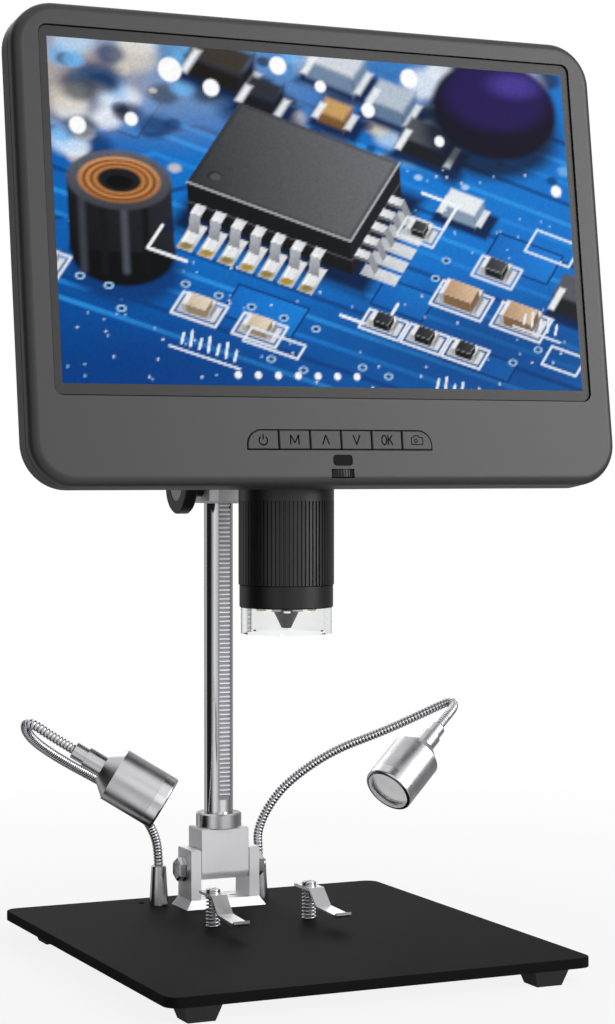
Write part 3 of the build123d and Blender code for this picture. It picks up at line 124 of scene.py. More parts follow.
def paintRoom(look):
    # white where the eye or a glass looks, dimmer as a source of light, and a ring of bright and dark cards in a
    # mirror
    world = bpy.data.worlds.new("studioRoom")
    scene.world = world
    world.use_nodes = True
    tree = world.node_tree
    seen, mirrored = sortRays(tree)
    level = addNode(tree, "MapRange", {"Value": seen, "To Min": look["roomLevel"], "To Max": 1.0})
    plain = addNode(tree, "Mix", {0: level.outputs[0], 6: (0, 0, 0, 1), 7: (1, 1, 1, 1)}, data_type="RGBA")
    way = addNode(tree, "TexCoord").outputs["Generated"]
    ahead = addNode(tree, "VectorMath", {0: way, 1: look["ahead"]}, operation="DOT_PRODUCT")
    aside = addNode(tree, "VectorMath", {0: way, 1: look["aside"]}, operation="DOT_PRODUCT")
    turn = addNode(tree, "Math", {0: aside.outputs["Value"], 1: ahead.outputs["Value"]}, operation="ARCTAN2")
    share = addNode(tree, "MapRange", {"Value": turn.outputs[0], "From Min": -pi, "From Max": pi})
    ring = addNode(tree, "ValToRGB", {0: share.outputs[0]})
    stops = ring.color_ramp.elements
    for angle, bright in look["bands"][1:-1]:
        stops.new((angle + 180) / 360).color = (bright, bright, bright, 1)
    for stop, (_, bright) in ((stops[0], look["bands"][0]), (stops[-1], look["bands"][-1])):
        stop.color = (bright, bright, bright, 1)
    rise = addNode(tree, "SeparateXYZ", {0: way})
    low, high = look["overheadFrom"]
    top = addNode(tree, "MapRange", {"Value": rise.outputs[2], "From Min": low, "From Max": high})
    cards = addNode(tree, "Mix", {0: top.outputs[0], 6: ring.outputs[0], 7: (*[look["overhead"]] * 3, 1)},
                    data_type="RGBA")
    colour = addNode(tree, "Mix", {0: mirrored, 6: plain.outputs[2], 7: cards.outputs[2]}, data_type="RGBA")
    tree.links.new(colour.outputs[2], tree.nodes["Background"].inputs["Color"])


def hangLamps(look):
    for name, lamp in look["lamps"].items():
        light = bpy.data.lights.new(name, "AREA")
        light.shape = "RECTANGLE"
        light.size, light.size_y = lamp["size"]
        light.energy = lamp["watts"]
        holder = bpy.data.objects.new(name, light)
        holder.location = lamp["place"]
        aim = Vector(look["aimAt"]) - Vector(lamp["place"])
        holder.rotation_euler = aim.to_track_quat("-Z", "Y").to_euler()
        scene.collection.objects.link(holder)


def layFloor(look):
    # pale floor that keeps the shadow and fades to the backdrop's white further out
    shape = bmesh.new()
    bmesh.ops.create_grid(shape, x_segments=4, y_segments=4, size=look["floorSize"] / 2)
    mesh = bpy.data.meshes.new("studioFloor")
    shape.to_mesh(mesh)
    shape.free()
    floor = bpy.data.objects.new("studioFloor", mesh)
    scene.collection.objects.link(floor)
    paper = bpy.data.materials.new("paperFloor")
    paper.use_nodes = True
    tree = paper.node_tree
    matte = tree.nodes["Principled BSDF"]
    matte.inputs["Base Color"].default_value = hexColour(look["floorColour"])
    matte.inputs["Roughness"].default_value = look["floorRough"]
    matte.inputs["Specular IOR Level"].default_value = 0.0
    seen, mirrored = sortRays(tree)
    where = addNode(tree, "TexCoord")
    reach = addNode(tree, "VectorMath", {0: where.outputs["Object"]}, operation="LENGTH")
    (start, stop), (least, most) = look["floorFade"], look["floorWhite"]
    fade = addNode(tree, "MapRange", {"Value": reach.outputs["Value"], "From Min": start, "From Max": stop,
                                      "To Min": least, "To Max": most})
    share = addNode(tree, "Math", {0: seen, 1: fade.outputs[0]}, operation="MULTIPLY")
    glow = addNode(tree, "Emission", {"Color": (1, 1, 1, 1), "Strength": 1.0})
    mixed = addNode(tree, "MixShader", {0: share.outputs[0], 1: matte.outputs[0], 2: glow.outputs[0]})
    # polished metal mirrors the ring of cards below the horizon too, so it looks through the floor
    gap = addNode(tree, "BsdfTransparent")
    whole = addNode(tree, "MixShader", {0: mirrored, 1: mixed.outputs[0], 2: gap.outputs[0]})
    tree.links.new(whole.outputs[0], tree.nodes["Material Output"].inputs["Surface"])
    mesh.materials.append(paper)


placeCamera(studio)
paintRoom(studio)
hangLamps(studio)
layFloor(studio)
print("camera, floor and lights set")


# Finishes
def startMaterial(name, surface):
    material = bpy.data.materials.new(name)
    material.use_nodes = True
    tree = material.node_tree
    shader = tree.nodes["Principled BSDF"]
    for socket, value in surface.items():
        shader.inputs[socket].default_value = value
    where = addNode(tree, "TexCoord").outputs["Object"]
    return material, tree, shader, where


def addBump(tree, shader, height, strength, depth):
    relief = addNode(tree, "Bump", {"Height": height, "Strength": strength, "Distance": depth * mm})
    tree.links.new(relief.outputs[0], shader.inputs["Normal"])


def setTone(tree, shader, look, toneNoise, glossNoise, spread):
    # the colour goes from dark to light with one noise, and the gloss is mottled by another
    tone = addNode(tree, "Mix", {0: toneNoise, 6: hexColour(look["dark"]), 7: hexColour(look["light"])},
                   data_type="RGBA")
    tree.links.new(tone.outputs[2], shader.inputs["Base Color"])
    gloss = addNode(tree, "MapRange", {"Value": glossNoise, "From Min": 0.3, "From Max": 0.7,
                                       "To Min": look["rough"] - spread, "To Max": look["rough"] + spread})
    tree.links.new(gloss.outputs[0], shader.inputs["Roughness"])
    return tone.outputs[2]


def moulded(name, look):
    # colour drifts a little over the part, and a fine texture breaks the light
    material, tree, shader, where = startMaterial(name, {"Specular IOR Level": look.get("specular", 0.5)})
    drift = addNode(tree, "TexNoise", {"Vector": where, "Scale": 1 / (look["drift"] * mm), "Detail": 2.0})
    grain = addNode(tree, "TexNoise", {"Vector": where, "Scale": 1 / (look["grain"] * mm), "Detail": 3.0,
                                       "Roughness": 0.6})
    setTone(tree, shader, look, drift.outputs[0], grain.outputs[0], 0.05)
    addBump(tree, shader, grain.outputs[0], look["relief"], look["depth"])
    return material


def machined(name, look):
    # fine lines or pits, stretched along the cut
    material, tree, shader, where = startMaterial(name, {"Metallic": look.get("metal", 1.0)})
    stretched = addNode(tree, "Mapping", {"Vector": where, "Scale": look.get("stretch", (1, 1, 1))})
    lines = addNode(tree, "TexNoise", {"Vector": stretched.outputs[0], "Scale": 1 / (look["grain"] * mm),
                                       "Detail": 3.0, "Roughness": 0.55})
    smear = addNode(tree, "TexNoise", {"Vector": where, "Scale": 1 / (look["smear"] * mm), "Detail": 2.0})
    tone = setTone(tree, shader, look, lines.outputs[0], smear.outputs[0], look["rough"] * 0.2)
    addBump(tree, shader, lines.outputs[0], look["relief"], look["depth"])
    if "grooves" in look:
        # painted shade darkens the grooves, which are deeper along Y than the crests
        crest, root = look["grooves"]
        deep = addNode(tree, "MapRange", {"Value": addNode(tree, "SeparateXYZ", {0: where}).outputs[1],
                                          "From Min": crest * mm, "From Max": root * mm})
        grooveShade = addNode(tree, "Mix", {0: deep.outputs[0], 6: tone, 7: hexColour(look["grooveShade"])},
                         data_type="RGBA")
        tree.links.new(grooveShade.outputs[2], shader.inputs["Base Color"])
    return material


def clear(name, look):
    # acrylic, glass or lit phosphor, with the faint waviness of a moulding
    material, tree, shader, where = startMaterial(name, {
        "Base Color": hexColour(look["colour"]), "Transmission Weight": look["through"], "IOR": look["ior"],
        "Roughness": look["rough"], "Emission Color": hexColour(look.get("glowColour", "#ffffff")),
        "Emission Strength": look.get("glow", 0.0)})
    wave = addNode(tree, "TexNoise", {"Vector": where, "Scale": 1 / (look["wave"] * mm), "Detail": 1.0})
    addBump(tree, shader, wave.outputs[0], 0.04, 0.01)
    return material


# Moulded and sprayed surfaces. Sizes in mm: drift is how far the tone wanders, grain the texture's spacing.
mouldedFinishes = {
    # Steel sprayed with black epoxy powder and baked: satin, with an orange peel drawn coarser than life
    "blackPowderCoat": {"dark": "#181818", "light": "#1d1d1d", "drift": 60, "grain": 0.7, "rough": 0.6,
                        "specular": 0.02, "relief": 0.35, "depth": 0.05, "nodes": ["base_plate"]},
    # Natural rubber pressed in a mould: dull and nearly black
    "pressedRubber": {"dark": "#111111", "light": "#171717", "drift": 12, "grain": 0.5, "rough": 0.75,
                      "relief": 0.3, "depth": 0.04, "nodes": ["base_feet"]},
    # ABS moulded against a spark-eroded tool: even grey with a fine matte texture
    "greyHousingABS": {"dark": "#333334", "light": "#373738", "drift": 70, "grain": 0.45, "rough": 0.42,
                       "specular": 0.5, "relief": 0.12, "depth": 0.02,
                       "nodes": ["front_bezel", "rear_cover", "power_key", "menu_key", "up_key", "down_key",
                                 "ok_key", "snap_key"]},
    # ABS moulded in a polished tool: black with a soft gloss
    "blackBarrelABS": {"dark": "#121213", "light": "#171718", "drift": 25, "grain": 0.4, "rough": 0.36,
                       "specular": 0.4, "relief": 0.15, "depth": 0.02,
                       "nodes": ["lens_barrel", "head_housing", "column_cap", "focus_knobs", "thumb_wheel"]},
    # The same ABS on the focus ring, a little glossier, so that the ribs catch the light
    "ribbedRingABS": {"dark": "#101011", "light": "#151516", "drift": 20, "grain": 0.4, "rough": 0.36,
                      "specular": 0.6, "relief": 0.2, "depth": 0.02, "nodes": ["focus_ring"]},
    # Painted disc pressed into the knob
    "knobInlayPaint": {"dark": "#b0b0b3", "light": "#bababd", "drift": 8, "grain": 0.3, "rough": 0.4,
                       "relief": 0.1, "depth": 0.01, "nodes": ["knob_inlays"]},
    # Dark grey cone and flange, moulded matte so that it throws no light into the lens
    "shadeConeABS": {"dark": "#2c2c2e", "light": "#38383a", "drift": 10, "grain": 0.4, "rough": 0.5,
                     "relief": 0.15, "depth": 0.02, "nodes": ["lens_nose"]},
    # Acetal bush, turned: milky white
    "turnedAcetal": {"dark": "#dcdcd8", "light": "#e6e6e2", "drift": 10, "grain": 0.3, "rough": 0.4,
                     "relief": 0.1, "depth": 0.01, "nodes": ["carriage_bushes"]},
    # Glass fibre board under green solder mask
    "boardSolderMask": {"dark": "#1d4a2c", "light": "#2a6338", "drift": 6, "grain": 0.3, "rough": 0.3,
                        "relief": 0.2, "depth": 0.02, "nodes": ["sensor_board", "circuit_boards"]},
    # White solder mask of a lamp ring
    "whiteSolderMask": {"dark": "#d8d8d4", "light": "#e6e6e2", "drift": 6, "grain": 0.3, "rough": 0.35,
                        "relief": 0.1, "depth": 0.01, "nodes": ["led_board"]},
    # Tinted acrylic over the infrared receiver, and the panel's black frame behind the glass
    "smokedAcrylic": {"dark": "#0d0d0e", "light": "#121214", "drift": 8, "grain": 0.4, "rough": 0.2,
                      "specular": 0.05, "relief": 0.05, "depth": 0.01,
                      "nodes": ["receiver_window", "screen_window", "lcd_panel"]},
}
# Metals. grain is the spacing of lines or pits in mm, stretch draws them out along the cut.
machinedFinishes = {
    # Aluminium blasted with fine beads and clear anodised: pale and silky
    "blastedAluminium": {"dark": "#eeeef0", "light": "#f8f8fa", "grain": 0.35, "smear": 9, "rough": 0.45,
                         "metal": 0.45, "relief": 0.2, "depth": 0.02,
                         "nodes": ["column_bracket", "column_block", "carriage_block", "head_arm",
                                   "hinge_yoke"]},
    # Steel turned and nickel plated: smooth, with faint rings
    "nickelledSteel": {"dark": "#b9b9bb", "light": "#cfcfd1", "grain": 0.3, "smear": 6, "rough": 0.2,
                       "stretch": (1, 1, 4), "relief": 0.12, "depth": 0.01,
                       "nodes": ["lamp_ferrules", "column_collar", "clip_screws", "tilt_bolt", "tilt_nut",
                                 "port_sockets"]},
    # Ground steel bar with hard chrome on it: a mirror with the faintest haze
    "hardChrome": {"dark": "#d2d2d5", "light": "#dedee0", "grain": 0.5, "smear": 15, "rough": 0.1,
                   "relief": 0.05, "depth": 0.01, "nodes": ["column_rod", "hinge_pin", "pinion_shaft"]},
    # Hobbed steel rack: bright crests, and painted shade in the grooves
    "hobbedSteel": {"dark": "#f2f2f4", "light": "#fafafc", "grain": 0.3, "smear": 5, "rough": 0.4,
                    "metal": 0.6, "relief": 0.05, "depth": 0.01, "grooves": (52.4, 52.62), "grooveShade": "#808084",
                    "nodes": ["rack"]},
    # Zinc plated screws and nuts: cool grey, a little cloudy
    "zincPlate": {"dark": "#a9abae", "light": "#c3c5c8", "grain": 0.4, "smear": 2, "rough": 0.35,
                  "relief": 0.15, "depth": 0.01, "nodes": ["foot_screws", "bracket_screws", "ferrule_nuts"]},
    # Screws and hinge blackened in hot oxide
    "blackOxide": {"dark": "#1c1c1e", "light": "#262628", "grain": 0.4, "smear": 3, "rough": 0.4,
                   "relief": 0.15, "depth": 0.01,
                   "nodes": ["arm_screws", "case_screws", "screen_hinge", "lens_cell"]},
    # Spring steel strip, rolled and nickel plated: lines run along the strip
    "rolledSpringSteel": {"dark": "#c8c8ca", "light": "#dededf", "grain": 0.3, "smear": 7, "rough": 0.32,
                          "stretch": (1, 0.15, 1), "relief": 0.15, "depth": 0.02,
                          "nodes": ["left_clip", "right_clip"]},
    # Wound steel strip of the goosenecks, and coiled spring wire: bright nickel
    "woundSteelStrip": {"dark": "#bfbfc2", "light": "#d6d6d9", "grain": 0.4, "smear": 5, "rough": 0.22,
                        "relief": 0.1, "depth": 0.01, "nodes": ["left_gooseneck", "right_gooseneck",
                                                                "clip_springs"]},
    # Lamp heads turned from aluminium and satin anodised
    "turnedAluminium": {"dark": "#c0c0c3", "light": "#d2d2d5", "grain": 0.4, "smear": 8, "rough": 0.3,
                        "relief": 0.12, "depth": 0.01, "nodes": ["left_lamp_head", "right_lamp_head"]},
    # Front rings turned with a diamond: brighter than the heads
    "brightTurned": {"dark": "#d4d4d7", "light": "#e2e2e4", "grain": 0.5, "smear": 6, "rough": 0.24,
                     "relief": 0.06, "depth": 0.01, "nodes": ["left_lamp_ring", "right_lamp_ring"]},
}
clearFinishes = {
    # Acrylic moulded in one piece: clear
    "mouldedAcrylic": {"colour": "#f4f5f5", "through": 1.0, "ior": 1.49, "rough": 0.03, "wave": 4,
                       "nodes": ["clear_cover"]},
    # Ground and coated glass
    "coatedGlass": {"colour": "#eef3ff", "through": 1.0, "ior": 1.52, "rough": 0.0, "wave": 12,
                    "nodes": ["objective_lens"]},
    # Bowl sprayed with bright lacquer, with a painted glow on it standing in for its diode's light
    "reflectorPaintedGlow": {"colour": "#c9c9cb", "through": 0.0, "ior": 1.5, "rough": 0.3, "wave": 3, "glow": 0.28,
                     "nodes": []},
    # Polished acrylic in front of the reflector. A lower IOR than the real 1.49 keeps dark rings out of it.
    "lampAcrylic": {"colour": "#fafafa", "through": 1.0, "ior": 1.3, "rough": 0.05, "wave": 3,
                    "nodes": ["left_lamp_lens", "right_lamp_lens"]},
}
finishes = {}
bare = set(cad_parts)
for family, table in ((moulded, mouldedFinishes), (machined, machinedFinishes), (clear, clearFinishes)):
    for name, look in table.items():
        finishes[name] = family(name, look)
        for node in look["nodes"]:
            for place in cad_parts[node].material_slots:
                place.material = finishes[name]
            bare.discard(node)
print("finishes made:", len(finishes), "- nodes left bare:", sorted(bare))


def finishPiece(shape, name, material, body, place=None, crease=35, recalc=True):
    # puts the shape in its place, in the mesh itself, and lets it ride on a body
    if place is not None:
        bmesh.ops.transform(shape, matrix=place, verts=shape.verts)
    if recalc:
        bmesh.ops.recalc_face_normals(shape, faces=shape.faces)
    mesh = bpy.data.meshes.new(name)
    shape.to_mesh(mesh)
    shape.free()
    mesh.shade_smooth()
    mesh.set_sharp_from_angle(angle=radians(crease))
    mesh.materials.append(material)
    piece = bpy.data.objects.new(name, mesh)
    scene.collection.objects.link(piece)
    if body:
        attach(piece, body)
    return piece


# Lamps: the middle of each front ring, and the way that the lamp shines
lamps = {
    "left": {"middle": (-56.1, -10.2, 61.4), "aim": (0.775, -0.367, -0.515)},
    "right": {"middle": (52.9, 15.5, 57.9), "aim": (-0.746, -0.324, -0.582)},
}

# Goosenecks: steel strip wound to a ribbed tube
gooseneck = {
    "radius": 1.7,
    "pitch": 1.25,
    "groove": 0.36,
    # one winding from groove to shoulder, crest and shoulder: share of the pitch, and how deep in the groove
    "winding": [(0.0, 1.0), (0.2, 0.2), (0.5, 0.0), (0.8, 0.2)],
    "sides": 20,
    "smoothness": 24,
    "tipLength": 14.0,
    "socketDepth": 16.2,
    "socketTop": 25.7,
    "tail": 25.0,
    "runIn": 6.0,
    "foot": {"left": (-19.7, 66.6), "right": (19.7, 66.6)},
    "path": {
        "left": [(-21.5, 65.6, 34), (-28, 61.5, 42.5), (-41, 52, 52.5), (-52.4, 44.5, 58.7), (-64.3, 35.5, 64.8),
                 (-74.3, 27, 70.3), (-82.8, 18.5, 75.5), (-87.8, 12, 79.9), (-89.3, 7, 82.9), (-87.5, 4.2, 82.6),
                 (-83.9, 2.6, 80)],
        "right": [(21.2, 71.3, 31.7), (25.7, 72, 40.3), (33.3, 70.5, 49.7), (47.9, 63, 61.2), (64.5, 54, 68.4),
                  (77.6, 46, 75.6), (82.9, 42.5, 78.7), (85.7, 40, 80.2), (85.8, 37, 78.5)],
    },
}


def meshOf(curve):
    # the mesh that a curve makes; the curve goes
    holder = bpy.data.objects.new(curve.name, curve)
    scene.collection.objects.link(holder)
    bpy.context.view_layer.update()
    mesh = bpy.data.meshes.new_from_object(holder)
    bpy.data.objects.remove(holder)
    bpy.data.curves.remove(curve)
    return mesh


def smoothLine(corners, smoothness):
    # points along a soft line with these corners
    curve = bpy.data.curves.new("line", "CURVE")
    curve.dimensions = "3D"
    curve.resolution_u = smoothness
    spline = curve.splines.new("NURBS")
    spline.points.add(len(corners) - 1)
    for point, corner in zip(spline.points, corners):
        point.co = (*[c * mm for c in corner], 1.0)
    spline.order_u = 3
    spline.use_endpoint_u = True
    spline.resolution_u = smoothness
    mesh = meshOf(curve)
    points = [vertex.co.copy() for vertex in mesh.vertices]
    bpy.data.meshes.remove(mesh)
    return points


def walkAlong(points, distances):
    # (place, direction) at each distance along the line
    spots = []
    index, gone = 0, 0.0
    for distance in distances:
        while index < len(points) - 2 and gone + (points[index + 1] - points[index]).length < distance:
            gone += (points[index + 1] - points[index]).length
            index += 1
        step = points[index + 1] - points[index]
        spots.append((points[index] + step.normalized() * (distance - gone), step.normalized()))
    return spots


def sweepTube(shape, spots, radii, sides):
    # pulls a ring of edges along the spots, then closes both ends
    turn = Vector((0, 0, 1)).rotation_difference(spots[0][1])
    ring = bmesh.ops.create_circle(shape, segments=sides, radius=1.0)["verts"]
    edges = list(dict.fromkeys(edge for vertex in ring for edge in vertex.link_edges))
    pose = Matrix.Translation(spots[0][0]) @ turn.to_matrix().to_4x4() @ Matrix.Scale(radii[0], 4)
    bmesh.ops.transform(shape, matrix=pose, verts=ring)
    ends = list(edges)
    for (place, direction), (_, previous), radius in zip(spots[1:], spots, radii[1:]):
        turn = previous.rotation_difference(direction) @ turn
        pulled = bmesh.ops.extrude_edge_only(shape, edges=edges)["geom"]
        ring = [part for part in pulled if isinstance(part, bmesh.types.BMVert)]
        edges = [part for part in pulled if isinstance(part, bmesh.types.BMEdge)
                 and part.verts[0] in ring and part.verts[1] in ring]
        newPose = Matrix.Translation(place) @ turn.to_matrix().to_4x4() @ Matrix.Scale(radius, 4)
        bmesh.ops.transform(shape, matrix=newPose @ pose.inverted(), verts=ring)
        pose = newPose
    bmesh.ops.holes_fill(shape, edges=ends + edges, sides=0)


def makeGooseneck(side, look, lamp):
    end = Vector(lamp["middle"]) - Vector(lamp["aim"]).normalized() * look["tail"]
    runIn = end - Vector(lamp["aim"]).normalized() * look["runIn"]
    x, y = look["foot"][side]
    corners = [(x, y, look["socketDepth"]), (x, y, look["socketTop"]), *look["path"][side], tuple(runIn), tuple(end)]
    line = smoothLine(corners, look["smoothness"])
    length = sum((b - a).length for a, b in zip(line, line[1:]))
    windings = round(length / (look["pitch"] * mm))
    pitch = length / windings
    radius, groove = look["radius"] * mm, look["groove"] * mm
    steps = [((turn + share) * pitch, radius - groove * deep) for turn in range(windings)
             for share, deep in look["winding"]]
    steps.append((length, radius - groove))
    tipStart = round(windings - look["tipLength"] * mm / pitch) * len(look["winding"])
    # the neck rides on its own body, and the tip, which runs on from it to the lamp, rides on none
    for name, part in (("Gooseneck", steps[:tipStart + 1]), ("GooseneckTip", steps[tipStart:])):
        shape = bmesh.new()
        spots = walkAlong(line, [distance for distance, _ in part])
        sweepTube(shape, spots, [size for _, size in part], look["sides"])
        body = side + "_neck" if name == "Gooseneck" else None
        piece = finishPiece(shape, side + name, finishes["woundSteelStrip"], body, crease=50)
        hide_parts(side + "_gooseneck")
        if body is None:
            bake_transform(piece)
    print(side, "gooseneck:", windings, "windings,", round(length / mm, 1), "mm")


# Reflector bowl behind each lamp's lens, as (radius, height) along the way it shines, and the diode in its bottom
lampReflector = {
    "bowl": [(7.7, 5.4), (7.0, 3.2), (5.6, 0.4), (3.8, -1.8), (2.0, -3.0)],
    "steps": 48,
    "diode": 2.2,
    "diodeSides": 24,
    "diodeTall": 0.6,
    "diodeSunk": 0.3,
}


def pullFaces(shape, height):
    # gives the flat shape a thickness along Z, and returns what that made
    pulled = bmesh.ops.extrude_face_region(shape, geom=list(shape.faces))["geom"]
    moved = [part for part in pulled if isinstance(part, bmesh.types.BMVert)]
    bmesh.ops.translate(shape, vec=(0, 0, height * mm), verts=moved)
    return pulled


def makeReflector(side, look, lamp):
    turn = Vector((0, 0, 1)).rotation_difference(Vector(lamp["aim"]).normalized()).to_matrix().to_4x4()
    place = Matrix.Translation(Vector(lamp["middle"]) * mm) @ turn
    shape = bmesh.new()
    rim = [shape.verts.new((radius * mm, 0, height * mm)) for radius, height in look["bowl"]]
    line = [shape.edges.new(pair) for pair in zip(rim, rim[1:])]
    bmesh.ops.spin(shape, geom=rim + line, cent=(0, 0, 0), axis=(0, 0, 1), angle=2 * pi, steps=look["steps"],
                   use_merge=True)
    # the bowl's glow is painted light, in place of the diode lighting it
    bowl = finishPiece(shape, side + "Reflector", finishes["reflectorPaintedGlow"], side + "_lamp", place, crease=60)
    shape = bmesh.new()
    bmesh.ops.create_circle(shape, cap_ends=True, segments=look["diodeSides"], radius=look["diode"] * mm)
    pullFaces(shape, look["diodeTall"])
    bottom = look["bowl"][-1][1] - look["diodeSunk"]
    bmesh.ops.translate(shape, vec=(0, 0, bottom * mm), verts=shape.verts)
    # phosphor under clear resin, lit
    resin = clear(side + "DiodeCap", {"colour": "#f4f4f0", "through": 0.0, "ior": 1.5, "rough": 0.4, "wave": 1,
                                      "glow": 1.0})
    cap = finishPiece(shape, side + "Diode", resin, side + "_lamp", place)


for side, lamp in lamps.items():
    makeGooseneck(side, gooseneck, lamp)
    makeReflector(side, lampReflector, lamp)

# Springs under the stage clips
clipSpring = {
    "places": [(-18.2, 18.9), (18.2, 18.9)],
    "bottom": 8.4,
    "top": 19.05,
    "radius": 2.3,
    "wire": 0.28,
    "turns": 9.5,
    "flatTurns": 0.6,
    "steps": 20,
    "sides": 8,
}


def makeSprings(look):
    shape = bmesh.new()
    low = look["bottom"] + look["wire"]
    rise = look["top"] - look["wire"] - low
    count = round(look["turns"] * look["steps"])
    for x, y in look["places"]:
        points = []
        for i in range(count + 1):
            share = i / count
            angle = 2 * pi * look["turns"] * share
            # the end turns lie flat
            flat = look["flatTurns"]
            climb = min(max((share * look["turns"] - flat) / (look["turns"] - 2 * flat), 0), 1)
            points.append(Vector((x + look["radius"] * cos(angle), y + look["radius"] * sin(angle),
                                  low + rise * climb)) * mm)
        spots = [(a, (b - a).normalized()) for a, b in zip(points, points[1:])]
        sweepTube(shape, spots, [look["wire"] * mm] * len(spots), look["sides"])
    piece = finishPiece(shape, "clipSprings", finishes["woundSteelStrip"], "base", crease=60)
    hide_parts("clip_springs")


makeSprings(clipSpring)
print("springs wound")

# Everything on the screen is drawn flat about the picture's middle, in mm along its width, up it and out of it,
# then leaned back with it
screenPlace = {
    "lean": 7.9,
    "y": -34.2,
    "z": 247.1,
}
lean = radians(screenPlace["lean"])
onScreen = Matrix(((1, 0, 0, 0), (0, sin(lean), -cos(lean), screenPlace["y"] * mm),
                   (0, cos(lean), sin(lean), screenPlace["z"] * mm), (0, 0, 0, 1)))

windowBorder = {
    "size": (190.9, 116.9),
    "corner": 2.6,
    "cornerSteps": 8,
    "depth": -0.72,
    "thick": 0.07,
}


def makeBorder(look):
    # grey print round the picture, inside a thin black gap
    shape = bmesh.new()
    width, height = look["size"]
    bmesh.ops.create_grid(shape, x_segments=1, y_segments=1, size=0.5)
    bmesh.ops.scale(shape, vec=(width * mm, height * mm, 1), verts=shape.verts)
    bmesh.ops.bevel(shape, geom=list(shape.verts), offset=look["corner"] * mm, segments=look["cornerSteps"],
                    profile=0.5, affect="VERTICES", material=-1)
    pullFaces(shape, look["thick"])
    bmesh.ops.translate(shape, vec=(0, 0, (look["depth"] - look["thick"]) * mm), verts=shape.verts)
    ink = moulded("screenBorderInk", {"dark": "#262627", "light": "#29292a", "drift": 30, "grain": 0.5,
                                      "rough": 0.42, "specular": 0.38, "relief": 0.05, "depth": 0.01})
    piece = finishPiece(shape, "windowBorder", ink, "screen", onScreen)


makeBorder(windowBorder)

# The picture: a close view of a circuit board, painted on a fine grid. All places in mm, either across and up the
# picture from its middle, or along, back and above the board, which is seen at a slant.
picture = {
    "width": 185.8,
    "height": 110.0,
    "cell": 0.55,
    "depth": -0.68,
    "along": (0.93, -0.28),
    "back": (0.45, 0.62),
    "up": 0.8,
    "glow": 1.0,
    "seed": 11,
    "tracks": 17,
    "blurs": 120,
    "dust": 160,
    "noise": 0.05,
    # copper under the mask: along, back, wide, deep
    "pours": [(-14, -58, 26, 16), (30, -30, 20, 14), (64, -44, 26, 10), (-66, -40, 22, 12), (58, 8, 26, 16),
              (-92, 6, 20, 20)],
    # parts out of focus: along, back, wide, deep, tall, top, front, softness
    "farParts": [
        (-34, 62, 18, 12, 7, "#cfd6de", "#6f86a2", 2.6), (-8, 56, 14, 12, 6, "#b4c0ce", "#5f7896", 2.4),
        (-70, 42, 20, 12, 8, "#3b352f", "#1a1714", 3.0), (-48, 38, 12, 9, 6, "#2b2f36", "#14161a", 2.6),
        (10, 44, 17, 11, 7, "#4f535a", "#16181d", 2.0), (36, 22, 13, 9, 5, "#e6ebf0", "#8296ae", 1.4),
        (-22, 44, 10, 8, 4, "#c79c60", "#7a5526", 2.2), (92, -4, 16, 12, 8, "#54575d", "#1b1d21", 1.6)],
    # lit solder, out of focus: across, up, radius
    "sparks": [(-52, 47, 4.0), (-38, 42, 2.8), (-14, 51, 3.0), (1, 45, 2.0), (18, 38, 2.4), (34, 50, 3.2),
               (-84, 27, 2.8), (-66, 30, 2.2), (44, 29, 1.8), (88, 14, 2.0)],
    # wound coil: across, bottom, top, half its width
    "coil": (-71, -13, 10, 17.5),
    # the chip in the middle: from and to along the board, from and to back, and how tall. Its legs leave it at one
    # height, bend down from the knee to the foot, and lie on the board.
    "chip": (-42, 19, -20, 24, 14),
    "legs": {"pitch": 7.4, "wide": 3.8, "high": 6.4, "low": 0.8, "knee": 5, "foot": 7.4},
    # parts in focus: along, back, wide, deep, tall, near and far end of the top with the front between, softness
    "parts": [(a, -40, 9, 5, 2.6, ("#1b1c1f", "#0e0f11", "#3a3b3f"), 0.6) for a in (34, 50, 66)]
             + [(a, -18, 14, 8, 4, ("#b08d6a", "#7d5f43", "#d8bd9c"), 0.7) for a in (52, 76)]
             + [(60, 2, 10, 6, 3, ("#2a2b2f", "#141518", "#4d4e53"), 0.9)]
             + [(a, -62, 10, 6, 3, ("#c7b39a", "#8f7c63", "#e6d8c4"), 0.8) for a in (-26, -4)]
             + [(-84, -66, 13, 8, 3, ("#c9a27c", "#8a6238", "#ecd2b0"), 1.0),
                (28, 8, 8, 5, 2.4, ("#222326", "#101113", "#47484c"), 0.8)],
    "vias": [(-30, -50), (-18, -50), (-6, -50), (6, -50), (18, -50), (46, -8), (46, 2), (88, -34), (94, -24),
             (40, -60), (50, -60), (22, -70), (10, -70), (-62, -62), (-52, -62), (-44, -70)],
    # white print: rows of bars as (along, back, how many), and frames as (along, back, wide, deep)
    "bars": [(68, -58, 9), (-20, -76, 7), (46, -74, 8), (84, -14, 5)],
    "frames": [(70, 20, 18, 12), (-2, -66, 20, 7), (98, -30, 14, 10)],
}


